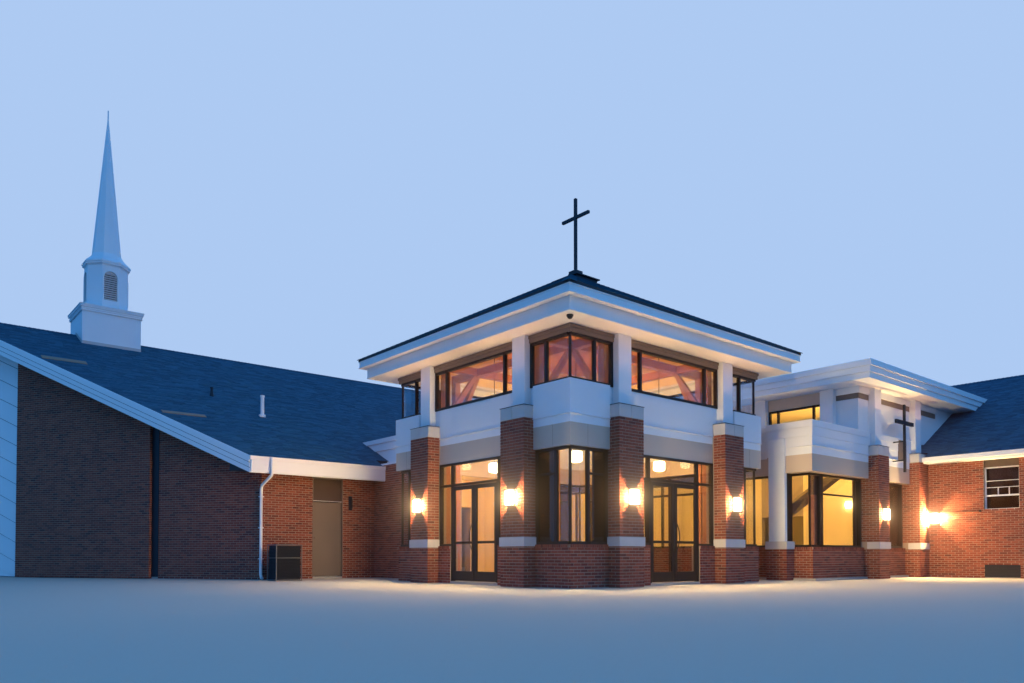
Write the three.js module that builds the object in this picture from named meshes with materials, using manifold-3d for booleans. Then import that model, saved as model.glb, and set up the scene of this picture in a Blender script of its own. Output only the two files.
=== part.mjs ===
// A modern church at half size: a square glazed lobby with a hipped roof, a
// sanctuary with a splayed prow gable and a steeple, a flat-roofed hall and a
// gabled wing. X runs along the sanctuary's ridge, Y runs from the front of
// the building to its back, and the origin is the centre of the lobby's floor
// on the ground.
//
// Every size below is a real one in millimetres. addPiece() brings it to the
// model's size.

import * as THREE from "three";
import { mergeVertices } from "three/addons/utils/BufferGeometryUtils.js";
import Module from "manifold-3d";

const wasm = await Module();
wasm.setup();

const MODEL_SCALE = 0.5;
const GRID = 0.5;
const SLOPE_GAP = 0.6;
const DOOR_GAP = 18;
const PIVOT_INSET = 15;
const PIVOT_RADIUS = 10;

// Heights shared by the lobby and the hall
const FLOOR = 60;
const SILL = 950;
const BAND_LOW = 910;
const BAND_HIGH = 1120;
const LINTEL_LOW = 3060;
const LINTEL_HIGH = 3550;
const CAP_TOP = 4050;
const BELT_HIGH = 4480;
const WINDOW_HEAD = 5500;
const WALL = 250;
const GLASS = 26;
const GLASS_INSET = 60;

// Lobby, measured from its centre
const LOBBY_X = 3565;
const LOBBY_Y = 3390;
const CORNER_BAY_X = 1185;
const CORNER_BAY_Y = 1115;
const PIER = 800;
const PIER_OUT = 330;
const BAND_OUT = 25;
const CORNER_PROUD = 60;
const BAY_RECESS = 40;
const UPPER_COLUMN = 430;
const UPPER_COLUMN_OUT = 150;
const SOFFIT = 5670;
const FASCIA_TOP = 5960;
const GUTTER_TOP = 6140;
const LOBBY_OVERHANG = 650;
const GUTTER_OUT = 810;
const LOBBY_ROOF_OUT = 830;
const LOBBY_ROOF_EDGE = 6200;
const LOBBY_ROOF_SLOPE = 0.53;
const LOBBY_ROOF_DEPTH = 200;
const CROSS_TOP = 10610;
const CROSS_ARM_Z = 10080;
const CROSS_ARM = 515;
const CROSS_BAR = 74;

// Lobby doors
const DOOR_HALF = 885;
const LEAF_TOP = 2450;
const LEAF_DEPTH = 45;
const LEAF_STILE = 95;
const LEAF_BOTTOM_RAIL = 240;
const LEAF_MID_RAIL = [1000, 1110];
const FRAME_BAR = 55;
const FRAME_DEPTH = 110;
const FRAME_INSET = 30;

// Timber frame in the lobby
const FRAME_SECTION = 180;
const FRAME_SETBACK = 415;
const FRAME_POST_TOP = 5700;
const FRAME_BEAM_Z = [5680, 5880];
const FRAME_CROSS_BEAM_Z = [5660, 5860];
const FRAME_BRACE_Z = [4250, 4490];
const FRAME_BRACE_REACH = [860, 1000];
const FRAME_BRACE_HALF = 60;

// Link between the lobby and the sanctuary
const LINK_X = 2380;
const LINK_WALL_TOP = 3560;
const LINK_ROOF_X = 1910;
const LINK_ROOF_STEP = 45;
const LINK_ROOF_LEVELS = [3620, 4155, 4400, 4545];
const LINK_ROOF_REACH = 8300;

// Sanctuary
const PROW_ANGLE = THREE.MathUtils.degToRad(31);
const SANCTUARY_WALL = 300;
const SANCTUARY_LEFT = -6120;
const SANCTUARY_RIGHT = 11380;
const SANCTUARY_FRONT = 6780;
const SANCTUARY_RIDGE_Y = 16680;
const SANCTUARY_SLOPE = 0.5;
const SANCTUARY_EAVE = 600;
const SANCTUARY_EAVE_TOP = 3510;
const SANCTUARY_SOFFIT = 3110;
const SANCTUARY_ROOF_DEPTH = 300;
const RAKE_OVERHANG = 800;
const FASCIA_BOARD = 45;
const FASCIA_DEPTH = 450;
const SIDE_DOOR = [-4510, -3510];
const SIDE_DOOR_TOP = 2350;
const SIDE_DOOR_INSET = 70;
const SIDE_PANEL_TOP = 3110;
const PROW_STRIP = [3720, 3980];
const PROW_STRIP_DEPTH = 60;
const PROW_SIDING_FROM = 9480;
const PROW_WALL_OUT = 110;
const CONDENSER_AT = [-6220, 5480];
const CONDENSER_SIZE = [770, 620];
const CONDENSER_TOP = 1020;
const DOWNSPOUT_X = [-6140, -6040];
const DOWNSPOUT_DEPTH = 85;
const LINK_PASSAGE = [-1500, 1500];
const HALL_PASSAGE = [6500, 9500];
const WING_PASSAGE = [0, 1800];
const PASSAGE_TOP = 2400;
const WING_PASSAGE_TOP = 2200;

// Hall
const HALL_LEFT = 5380;
const HALL_FRONT = -4060;
const HALL_GLASS_X = 5520;
const HALL_GLASS_Y = -3820;
const CORNER_BOX_X = 5120;
const CORNER_BOX_Y = -4120;
const CORNER_BOX_BACK = -2720;
const PIER_B = [8480, 9180];
const PIER_C = [11380, 12080];
const HALL_PIER_OUT = 360;
const UPPER_LEFT = 7980;
const UPPER_BACK = 3000;
const UPPER_WALL_TOP = 5840;
const UPPER_WINDOW_HEAD = 5470;
const UPPER_ROOF_TOP = 6360;
const UPPER_ROOF_LEFT = 6980;
const UPPER_ROOF_FRONT = -4920;
const HALL_COLUMN_Y = [-3310, -2800];
const WALL_CROSS_X = 10150;
const WALL_CROSS_Z = [3340, 5480];
const WALL_CROSS_ARM_Z = [4840, 4960];

// Wing
const WING_LEFT = 12080;
const WING_RIGHT = 24080;
const WING_FRONT = -16440;
const WING_BACK = 6780;
const WING_EAVE = 450;
const WING_EAVE_TOP = 3900;
const WING_SLOPE = 0.55;
const WING_ROOF_DEPTH = 160;
const WING_WINDOW_Z = [2150, 3740];
const WING_WINDOW_WIDTH = 985;
const WING_FIRST_WINDOW = -6575;
const WING_BAY = 2800;
const WING_BAYS = 4;

// Steeple. The belfry's widths are across flats, the spire's profile is [corner radius, z].
const STEEPLE_X = -8090;
const STEEPLE_HALF = 970;
const STEEPLE_BOX_TOP = 9710;
const CORNICE_STEP = 40;
const CORNICE_RISE = 110;
const BELFRY_TOP = 11500;
const BELFRY_WIDTH = 1365;
const BELFRY_CORNICE_WIDTH = 1500;
const ARCH_LOW = 10070;
const ARCH_RADIUS = 225;
const ARCH_STRAIGHT = 850;
const ARCH_DEPTH = 80;
const SPIRE_PROFILE = [
  [0, BELFRY_TOP],
  [812, BELFRY_TOP],
  [812, 11540],
  [620, 11720],
  [500, 11900],
  [26, 17050],
  [22, 17440],
  [0, 17440],
];

const paint = (color, roughness, metalness = 0) =>
  new THREE.MeshStandardMaterial({ color, roughness, metalness });
const material = {
  brick: paint(0x7a3f2e, 0.85),
  concrete: paint(0x8d8a85, 0.9),
  trim: paint(0xd9dbe0, 0.55),
  lintel: paint(0xa08a78, 0.7),
  shingle: paint(0x2b3440, 0.9),
  glass: paint(0xf2c074, 0.1),
  bronze: paint(0x2a201b, 0.4, 0.6),
  timber: paint(0xa8603a, 0.7),
  darkMetal: paint(0x1d2230, 0.45, 0.7),
  brownDoor: paint(0x5a3a2c, 0.6),
  equipment: paint(0xb9b7ae, 0.6, 0.4),
};

const building = new THREE.Group();

// Solids

// Corners lie on a grid, so that faces that meet have exactly the same coordinates
const onGrid = (value) => Math.round(value / GRID) * GRID;

// Triangles that lost a side to the grid are dropped, and so are two that now lie back to back
function wholeTriangles(index) {
  const kept = new Map();
  for (let i = 0; i < index.length; i += 3) {
    const corners = [index[i], index[i + 1], index[i + 2]];
    const key = [...corners].sort((a, b) => a - b).join();
    if (new Set(corners).size < 3) continue;
    if (!kept.delete(key)) kept.set(key, corners);
  }
  return [...kept.values()].flat();
}

function toSolid(geometry) {
  geometry.deleteAttribute("normal");
  geometry.deleteAttribute("uv");
  const merged = mergeVertices(geometry, 0.01);
  return new wasm.Manifold(new wasm.Mesh({
    numProp: 3,
    vertProperties: Float32Array.from(merged.attributes.position.array, onGrid),
    triVerts: new Uint32Array(merged.index.array),
  }));
}

function box([x0, x1], [y0, y1], [z0, z1]) {
  const geometry = new THREE.BoxGeometry(x1 - x0, y1 - y0, z1 - z0);
  geometry.translate((x0 + x1) / 2, (y0 + y1) / 2, (z0 + z1) / 2);
  return toSolid(geometry);
}

function extrudeUp(plan, [z0, z1]) {
  const shape = new THREE.Shape(plan.map(([x, y]) => new THREE.Vector2(x, y)));
  const geometry = new THREE.ExtrudeGeometry(shape, { depth: z1 - z0, bevelEnabled: false });
  geometry.translate(0, 0, z0);
  return toSolid(geometry);
}

// profile points are [y, z]
function extrudeAlongX(profile, [x0, x1]) {
  const shape = new THREE.Shape(profile.map(([y, z]) => new THREE.Vector2(y, z)));
  const geometry = new THREE.ExtrudeGeometry(shape, { depth: x1 - x0, bevelEnabled: false });
  geometry.applyMatrix4(new THREE.Matrix4().set(0, 0, 1, x0, 1, 0, 0, 0, 0, 1, 0, 0, 0, 0, 0, 1));
  return toSolid(geometry);
}

// profile points are [x, z]
function extrudeAlongY(profile, [y0, y1]) {
  const shape = new THREE.Shape(profile.map(([x, z]) => new THREE.Vector2(x, z)));
  const geometry = new THREE.ExtrudeGeometry(shape, { depth: y1 - y0, bevelEnabled: false });
  geometry.translate(0, 0, -y1);
  geometry.applyMatrix4(new THREE.Matrix4().set(1, 0, 0, 0, 0, 0, -1, 0, 0, 1, 0, 0, 0, 0, 0, 1));
  return toSolid(geometry);
}

const join = (...solids) => solids.reduce((all, solid) => all.add(solid));

// [a, b] on the side of the centre that sign names, low end first
const side = (sign, a, b) => [sign * a, sign * b].sort((p, q) => p - q);

// A rectangular ring between two half sizes
function ring([outerX, outerY], [innerX, innerY], [z0, z1]) {
  const inner = box([-innerX, innerX], [-innerY, innerY], [z0 - 1, z1 + 1]);
  return box([-outerX, outerX], [-outerY, outerY], [z0, z1]).subtract(inner);
}

function addPiece(name, solid, finish, parent = building) {
  const { vertProperties, triVerts } = solid.getMesh();
  const toModel = (value) => onGrid(value) * MODEL_SCALE;
  const raw = new THREE.BufferGeometry();
  raw.setAttribute("position", new THREE.BufferAttribute(Float32Array.from(vertProperties, toModel), 3));
  raw.setIndex(new THREE.BufferAttribute(new Uint32Array(triVerts), 1));
  const geometry = mergeVertices(raw, 0.01);
  geometry.setIndex(wholeTriangles(geometry.index.array));
  geometry.computeVertexNormals();
  const mesh = new THREE.Mesh(geometry, finish);
  mesh.name = name;
  parent.add(mesh);
}

// Roof shapes that other pieces are cut to

// The sanctuary's top surface is a gable along X, lifted by rise
function sanctuaryTop(y, rise = 0) {
  const run = SANCTUARY_RIDGE_Y - (SANCTUARY_FRONT - SANCTUARY_EAVE) - Math.abs(y - SANCTUARY_RIDGE_Y);
  return SANCTUARY_EAVE_TOP + SANCTUARY_SLOPE * run + rise;
}

const EAVE_FRONT_Y = SANCTUARY_FRONT - SANCTUARY_EAVE;
const SANCTUARY_BACK = 2 * SANCTUARY_RIDGE_Y - SANCTUARY_FRONT;
const EAVE_BACK_Y = 2 * SANCTUARY_RIDGE_Y - EAVE_FRONT_Y;
const PROW_RUN = (SANCTUARY_RIDGE_Y - SANCTUARY_FRONT) * Math.tan(PROW_ANGLE);

// A point on the front half of the prow: along from the eave corner, out from the wall's face
function prowPoint(along, out) {
  return [
    SANCTUARY_LEFT - along * Math.sin(PROW_ANGLE) - out * Math.cos(PROW_ANGLE),
    SANCTUARY_FRONT + along * Math.cos(PROW_ANGLE) - out * Math.sin(PROW_ANGLE),
  ];
}

const prowTip = (out) => [
  SANCTUARY_LEFT - PROW_RUN - out / Math.cos(PROW_ANGLE),
  SANCTUARY_RIDGE_Y,
];
const acrossRidge = ([x, y]) => [x, 2 * SANCTUARY_RIDGE_Y - y];

// Where the rake's edge, grown by out, meets the eave's edge
const rakeCorner = (out, eaveY) => [
  prowTip(out)[0] + (SANCTUARY_RIDGE_Y - eaveY) * Math.tan(PROW_ANGLE),
  eaveY,
];

// The sanctuary roof's plan, grown by grow all round. Its front eave ends at the link.
function sanctuaryPlan(grow, withNotch = true) {
  const front = EAVE_FRONT_Y - grow;
  const right = SANCTUARY_RIGHT + SANCTUARY_EAVE + grow;
  const notch = [[-LINK_X, front], [-LINK_X, SANCTUARY_FRONT], [right, SANCTUARY_FRONT]];
  return [
    rakeCorner(RAKE_OVERHANG + grow, front),
    ...(withNotch ? notch : [[right, front]]),
    [right, EAVE_BACK_Y + grow],
    acrossRidge(rakeCorner(RAKE_OVERHANG + grow, front)),
    prowTip(RAKE_OVERHANG + grow),
  ];
}

// The gable's profile between two depths below its top surface
function sanctuaryBand(topRise, lowRise, [x0, x1] = [-20000, 20000]) {
  const edges = [EAVE_FRONT_Y - 1000, SANCTUARY_RIDGE_Y, EAVE_BACK_Y + 1000];
  const top = edges.map((y) => [y, sanctuaryTop(y, topRise)]);
  const low = edges.map((y) => [y, sanctuaryTop(y, lowRise)]).reverse();
  return extrudeAlongX([...low, ...top], [x0, x1]);
}

const underSanctuaryRoof = sanctuaryBand(-SANCTUARY_ROOF_DEPTH - SLOPE_GAP, -20000);
const underSanctuaryTop = sanctuaryBand(SLOPE_GAP, -20000);

const WING_RIDGE_X = (WING_LEFT + WING_RIGHT) / 2;
const wingTop = (x, rise = 0) =>
  WING_EAVE_TOP + WING_SLOPE * (WING_RIDGE_X - (WING_LEFT - WING_EAVE) - Math.abs(x - WING_RIDGE_X)) + rise;

function wingBand(topRise, lowRise, [x0, x1], yRange) {
  const edges = [x0, WING_RIDGE_X, x1];
  const top = edges.map((x) => [x, wingTop(x, topRise)]).reverse();
  const low = edges.map((x) => [x, wingTop(x, lowRise)]);
  return extrudeAlongY([...low, ...top], yRange);
}

const underWing = (rise) =>
  wingBand(rise, -20000, [WING_LEFT - 2000, WING_RIGHT + 2000], [WING_FRONT - 1000, WING_BACK + 1000]);
const underWingTop = underWing(SLOPE_GAP);
const underWingRoof = underWing(-WING_ROOF_DEPTH - SLOPE_GAP);

// Floor

function addFloor() {
  const prowFloor = extrudeUp([
    [SANCTUARY_LEFT, SANCTUARY_FRONT],
    [SANCTUARY_RIGHT, SANCTUARY_FRONT],
    [SANCTUARY_RIGHT, SANCTUARY_BACK],
    [SANCTUARY_LEFT, SANCTUARY_BACK],
    prowTip(0),
  ], [0, FLOOR]);
  const slab = join(
    box([-LOBBY_X, LOBBY_X], [-LOBBY_Y, LOBBY_Y], [0, FLOOR]),
    box([-LINK_X, LINK_X], [LOBBY_Y, SANCTUARY_FRONT], [0, FLOOR]),
    box([HALL_LEFT, WING_LEFT], [HALL_FRONT, SANCTUARY_FRONT], [0, FLOOR]),
    box([WING_LEFT, WING_RIGHT], [WING_FRONT, WING_BACK], [0, FLOOR]),
    prowFloor,
  );
  addPiece("floor_slab", slab, material.concrete);
}

// Lobby

function addLobbyBrickwork() {
  const names = { "-1,-1": "front", "-1,1": "left", "1,-1": "right", "1,1": "back" };
  for (const sx of [-1, 1]) {
    for (const sy of [-1, 1]) {
      const xBay = LOBBY_X - CORNER_BAY_X;
      const yBay = LOBBY_Y - CORNER_BAY_Y;
      const hasSidelightX = sx < 0;
      const hasSidelightY = sy < 0;
      const wallX = side(sx, LOBBY_X - WALL, LOBBY_X);
      const wallY = side(sy, LOBBY_Y - WALL, LOBBY_Y);
      const pierX = side(sx, xBay - PIER, xBay);
      const pierY = side(sy, yBay - PIER, yBay);
      const bandX = side(sx, xBay - PIER - BAND_OUT, xBay + BAND_OUT);
      const bandY = side(sy, yBay - PIER - BAND_OUT, yBay + BAND_OUT);
      const outX = (reach) => side(sx, LOBBY_X, LOBBY_X + reach);
      const outY = (reach) => side(sy, LOBBY_Y, LOBBY_Y + reach);
      const pieces = [
        box(wallX, side(sy, yBay - PIER, LOBBY_Y), [FLOOR, SILL]),
        box(side(sx, xBay - PIER, LOBBY_X), wallY, [FLOOR, SILL]),
        box(wallX, pierY, [FLOOR, LINTEL_LOW]),
        box(pierX, wallY, [FLOOR, LINTEL_LOW]),
        box(outX(PIER_OUT), pierY, [0, CAP_TOP]),
        box(pierX, outY(PIER_OUT), [0, CAP_TOP]),
        box(outX(PIER_OUT + BAND_OUT), bandY, [BAND_LOW, BAND_HIGH]),
        box(bandX, outY(PIER_OUT + BAND_OUT), [BAND_LOW, BAND_HIGH]),
        box(side(sx, LOBBY_X - BAY_RECESS, LOBBY_X), pierY, [LINTEL_LOW, CAP_TOP]),
        box(pierX, side(sy, LOBBY_Y - BAY_RECESS, LOBBY_Y), [LINTEL_LOW, CAP_TOP]),
      ];
      const jamb = DOOR_HALF + DOOR_GAP + FRAME_BAR;
      if (hasSidelightX) pieces.push(box(wallX, side(sy, jamb, yBay - PIER), [FLOOR, SILL]));
      if (hasSidelightY) pieces.push(box(side(sx, jamb, xBay - PIER), wallY, [FLOOR, SILL]));
      const linkSlab = box([-LINK_X, LINK_X], [LOBBY_Y, SANCTUARY_FRONT], [-1, FLOOR]);
      addPiece(`lobby_brickwork_${names[`${sx},${sy}`]}`, join(...pieces).subtract(linkSlab), material.brick);
    }
  }
}

// A band round the lobby, recessed over the door bays and proud at the corners
function lobbyBand([z0, z1]) {
  const inner = [LOBBY_X - WALL, LOBBY_Y - WALL];
  let band = ring([LOBBY_X - BAY_RECESS, LOBBY_Y - BAY_RECESS], inner, [z0, z1]);
  for (const sx of [-1, 1]) {
    for (const sy of [-1, 1]) {
      const corner = box(
        side(sx, LOBBY_X - CORNER_BAY_X, LOBBY_X + CORNER_PROUD),
        side(sy, LOBBY_Y - CORNER_BAY_Y, LOBBY_Y + CORNER_PROUD),
        [z0, z1],
      );
      const room = box(
        side(sx, 0, LOBBY_X - WALL),
        side(sy, 0, LOBBY_Y - WALL),
        [z0 - 1, z1 + 1],
      );
      band = band.add(corner.subtract(room));
    }
  }
  return band;
}

function addLobbyUpper() {
  addPiece("lobby_lintel", lobbyBand([LINTEL_LOW, LINTEL_HIGH]), material.lintel);
  addPiece("lobby_belt", lobbyBand([LINTEL_HIGH, BELT_HIGH]), material.trim);

  let frame = ring([LOBBY_X, LOBBY_Y], [LOBBY_X - 150, LOBBY_Y - 150], [WINDOW_HEAD, SOFFIT]);
  for (const sx of [-1, 1]) {
    for (const sy of [-1, 1]) {
      const pierX = LOBBY_X - CORNER_BAY_X - PIER / 2;
      const pierY = LOBBY_Y - CORNER_BAY_Y - PIER / 2;
      const outX = side(sx, LOBBY_X - BAY_RECESS, LOBBY_X + UPPER_COLUMN_OUT);
      const outY = side(sy, LOBBY_Y - BAY_RECESS, LOBBY_Y + UPPER_COLUMN_OUT);
      const half = UPPER_COLUMN / 2;
      frame = frame.add(box(outX, side(sy, pierY - half, pierY + half), [CAP_TOP, SOFFIT]));
      frame = frame.add(box(side(sx, pierX - half, pierX + half), outY, [CAP_TOP, SOFFIT]));
    }
  }
  addPiece("lobby_upper_frame", frame, material.trim);

  const glassOuter = [LOBBY_X - GLASS_INSET, LOBBY_Y - GLASS_INSET];
  const glassInner = glassOuter.map((half) => half - GLASS);
  addPiece("lobby_upper_glass", ring(glassOuter, glassInner, [BELT_HIGH, WINDOW_HEAD]), material.glass);
}

function addLobbyRoof() {
  const grown = (out) => [LOBBY_X + out, LOBBY_Y + out];
  const eave = join(
    ring(grown(LOBBY_OVERHANG), grown(-400), [SOFFIT, SOFFIT + 60]),
    ring(grown(LOBBY_OVERHANG), grown(LOBBY_OVERHANG - 45), [SOFFIT - 10, FASCIA_TOP]),
    ring(grown(GUTTER_OUT), grown(LOBBY_OVERHANG - 45), [FASCIA_TOP, GUTTER_TOP]),
  );
  addPiece("lobby_eave", eave, material.trim);
  addPiece("lobby_roof", lobbyHip(LOBBY_ROOF_OUT, GUTTER_TOP, LOBBY_ROOF_EDGE)
    .subtract(lobbyHip(-400, SOFFIT, lobbyRoofUnderside(-400))), material.shingle);

  const crossHalf = CROSS_BAR / 2;
  const ridge = lobbyRidge();
  const cross = join(
    box([-crossHalf, crossHalf], [-crossHalf, crossHalf], [ridge - 200, CROSS_TOP]),
    box([-crossHalf, crossHalf], [-CROSS_ARM, CROSS_ARM], [CROSS_ARM_Z - crossHalf, CROSS_ARM_Z + crossHalf]),
    box([-150, 150], [-150, 150], [ridge - 160, ridge + 60]),
  ).subtract(lobbyHip(LOBBY_ROOF_OUT, GUTTER_TOP, LOBBY_ROOF_EDGE + SLOPE_GAP));
  addPiece("lobby_cross", cross, material.darkMetal);
}

const lobbyRidge = () => LOBBY_ROOF_EDGE + LOBBY_ROOF_SLOPE * (LOBBY_Y + LOBBY_ROOF_OUT);
const lobbyRoofUnderside = (out) =>
  LOBBY_ROOF_EDGE + LOBBY_ROOF_SLOPE * (LOBBY_ROOF_OUT - out) - LOBBY_ROOF_DEPTH;

// A hip whose edges rise from low to edge before they slope in
function lobbyHip(out, low, edge) {
  const gable = (half) => [
    [-half, low],
    [half, low],
    [half, edge],
    [0, edge + LOBBY_ROOF_SLOPE * half],
    [-half, edge],
  ];
  const halfX = LOBBY_X + out;
  const halfY = LOBBY_Y + out;
  return extrudeAlongX(gable(halfY), [-halfX - 10, halfX + 10])
    .intersect(extrudeAlongY(gable(halfX), [-halfY - 10, halfY + 10]));
}

function addTimberFrame() {
  const postZ = [FLOOR, FRAME_POST_TOP];
  const postX = LOBBY_X - CORNER_BAY_X - PIER / 2;
  const postY = LOBBY_Y - CORNER_BAY_Y - PIER / 2;
  const around = (sign, middle, half) => side(sign, middle - half, middle + half);
  const half = FRAME_SECTION / 2;
  const endX = LOBBY_X - FRAME_SETBACK;
  const endY = LOBBY_Y - FRAME_SETBACK;
  // Braces are let into the posts and the beams by this much
  const tenon = 30;
  const braceTop = FRAME_BEAM_Z[0] + tenon;
  const pieces = [];
  for (const sign of [-1, 1]) {
    pieces.push(box([-endX, endX], around(sign, postY, half), FRAME_BEAM_Z));
    pieces.push(box(around(sign, postX, half), [-endY, endY], FRAME_CROSS_BEAM_Z));
    for (const other of [-1, 1]) {
      pieces.push(box(side(sign, endX - FRAME_SECTION, endX), around(other, postY, half), postZ));
      pieces.push(box(around(other, postX, half), side(sign, endY - FRAME_SECTION, endY), postZ));
      const brace = (end) => [
        [sign * (end - FRAME_SECTION + tenon), FRAME_BRACE_Z[0]],
        [sign * (end - FRAME_SECTION + tenon), FRAME_BRACE_Z[1]],
        [sign * (end - FRAME_SECTION - FRAME_BRACE_REACH[0]), braceTop],
        [sign * (end - FRAME_SECTION - FRAME_BRACE_REACH[1]), braceTop],
      ];
      pieces.push(extrudeAlongY(brace(endX), around(other, postY, FRAME_BRACE_HALF)));
      pieces.push(extrudeAlongX(brace(endY), around(other, postX, FRAME_BRACE_HALF)));
    }
  }
  addPiece("lobby_timber_frame", join(...pieces), material.timber);
}

function addCornerGlass() {
  const names = { "-1,-1": "front", "-1,1": "left", "1,-1": "right", "1,1": "back" };
  for (const sx of [-1, 1]) {
    for (const sy of [-1, 1]) {
      const outerX = LOBBY_X - GLASS_INSET;
      const outerY = LOBBY_Y - GLASS_INSET;
      const glass = join(
        box(side(sx, outerX - GLASS, outerX), side(sy, LOBBY_Y - CORNER_BAY_Y, outerY), [SILL, LINTEL_LOW]),
        box(side(sx, LOBBY_X - CORNER_BAY_X, outerX), side(sy, outerY - GLASS, outerY), [SILL, LINTEL_LOW]),
      );
      addPiece(`lobby_corner_glass_${names[`${sx},${sy}`]}`, glass, material.glass);
    }
  }
  const bay = LOBBY_Y - CORNER_BAY_Y - PIER;
  const outer = LOBBY_X - GLASS_INSET;
  addPiece("lobby_side_glass", box([outer - GLASS, outer], [-bay, bay], [FLOOR, LINTEL_LOW]), material.glass);
}

// A door bay in its own frame: x along the wall from the bay's centre, y inwards from the wall's face
function addDoorBay(name, halfBay, parent) {
  const y = [FRAME_INSET, FRAME_INSET + FRAME_DEPTH];
  const glassY = [GLASS_INSET, GLASS_INSET + GLASS];
  const jamb = DOOR_HALF + DOOR_GAP;
  const head = LEAF_TOP + DOOR_GAP;
  const pieces = [
    box([-halfBay, halfBay], y, [LINTEL_LOW - FRAME_BAR, LINTEL_LOW]),
    box([-halfBay, halfBay], y, [head, head + FRAME_BAR]),
    box([-halfBay, halfBay], glassY, [head, LINTEL_LOW]),
  ];
  for (const sign of [-1, 1]) {
    pieces.push(box(side(sign, jamb, jamb + FRAME_BAR), y, [FLOOR, LINTEL_LOW]));
    pieces.push(box(side(sign, halfBay - FRAME_BAR, halfBay), y, [SILL, LINTEL_LOW]));
    pieces.push(box(side(sign, jamb, halfBay), y, [SILL, SILL + FRAME_BAR]));
    pieces.push(box(side(sign, jamb, halfBay), glassY, [SILL, head]));
  }
  addPiece(`${name}_door_frame`, join(...pieces), material.bronze, parent);
  for (const [sign, hand] of [[-1, "left"], [1, "right"]]) {
    addLeaf(`${name}_door_${hand}`, sign, parent);
  }
}

// The pins that carry a leaf at its foot and head, on the line that it turns about
function pivotPins(x, y, [low, high], [foot, head]) {
  const pin = (z0, z1) => {
    const geometry = new THREE.CylinderGeometry(PIVOT_RADIUS, PIVOT_RADIUS, z1 - z0, 8);
    geometry.rotateX(Math.PI / 2);
    geometry.translate(x, y, (z0 + z1) / 2);
    return toSolid(geometry);
  };
  return [pin(foot + SLOPE_GAP, low + 20), pin(high - 20, head - SLOPE_GAP)];
}

function addLeaf(name, sign, parent) {
  const inner = DOOR_GAP / 2;
  const y = [FRAME_INSET, FRAME_INSET + LEAF_DEPTH];
  const low = FLOOR + DOOR_GAP;
  const span = side(sign, inner, DOOR_HALF);
  const stile = (from) => box(side(sign, from, from + LEAF_STILE), y, [low, LEAF_TOP]);
  const paneY = [FRAME_INSET + 12, FRAME_INSET + 12 + GLASS];
  const handleX = side(sign, inner + 30, inner + 60);
  const leaf = join(
    stile(inner),
    stile(DOOR_HALF - LEAF_STILE),
    box(span, y, [LEAF_TOP - LEAF_STILE, LEAF_TOP]),
    box(span, y, [low, low + LEAF_BOTTOM_RAIL]),
    box(span, y, LEAF_MID_RAIL),
    box(span, paneY, [low, LEAF_TOP]),
    box(handleX, [FRAME_INSET - 70, FRAME_INSET - 45], [900, 1300]),
    box(handleX, [FRAME_INSET - 70, FRAME_INSET], [900, 930]),
    box(handleX, [FRAME_INSET - 70, FRAME_INSET], [1270, 1300]),
    ...pivotPins(sign * (DOOR_HALF - PIVOT_INSET), FRAME_INSET + PIVOT_INSET,
      [low, LEAF_TOP], [FLOOR, LEAF_TOP + DOOR_GAP]),
  );
  addPiece(name, leaf, material.bronze, parent);
}

function addLobbyDoors() {
  const front = new THREE.Group();
  front.position.set(0, -LOBBY_Y * MODEL_SCALE, 0);
  building.add(front);
  addDoorBay("right_entrance", LOBBY_X - CORNER_BAY_X - PIER, front);

  const left = new THREE.Group();
  left.position.set(-LOBBY_X * MODEL_SCALE, 0, 0);
  left.rotation.z = -Math.PI / 2;
  building.add(left);
  addDoorBay("left_entrance", LOBBY_Y - CORNER_BAY_Y - PIER, left);
}

// Link

function addLink() {
  const low = LOBBY_Y + PIER_OUT;
  for (const [sign, hand] of [[-1, "left"], [1, "right"]]) {
    const band = box(side(sign, 0, LINK_X + WALL), [low - 1, low + BAND_OUT], [BAND_LOW, BAND_HIGH]);
    const wall = box(side(sign, LINK_X - WALL, LINK_X), [low, SANCTUARY_FRONT], [FLOOR, LINK_WALL_TOP]);
    addPiece(`link_wall_${hand}`, wall.subtract(band), material.brick);
  }
  // A flat cover on the walls carries a stepped band, which ends on the sanctuary's roof
  const start = LOBBY_Y + CORNER_PROUD;
  const wallFace = SANCTUARY_FRONT - SLOPE_GAP;
  const steps = LINK_ROOF_LEVELS.slice(1).map((top, level) => {
    const half = LINK_ROOF_X + LINK_ROOF_STEP * level;
    return box([-half, half], [start, LINK_ROOF_REACH], [LINK_ROOF_LEVELS[level], top]);
  });
  const cover = box([-LINK_X, LINK_X], [start, wallFace], [LINK_WALL_TOP, LINK_ROOF_LEVELS[0]]);
  let roof = join(cover, ...steps);
  const heights = [LINK_WALL_TOP - 1, LINK_ROOF_LEVELS.at(-1) + 1];
  for (const sign of [-1, 1]) {
    roof = roof.subtract(box(side(sign, LINK_X - PIER, LINK_X), [start - 1, low], heights));
  }
  const behindWall = box([-LINK_X, LINK_X], [wallFace, LINK_ROOF_REACH + 1], heights);
  addPiece("link_roof", roof.subtract(behindWall.intersect(underSanctuaryTop)), material.trim);
}

// Sanctuary

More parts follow.
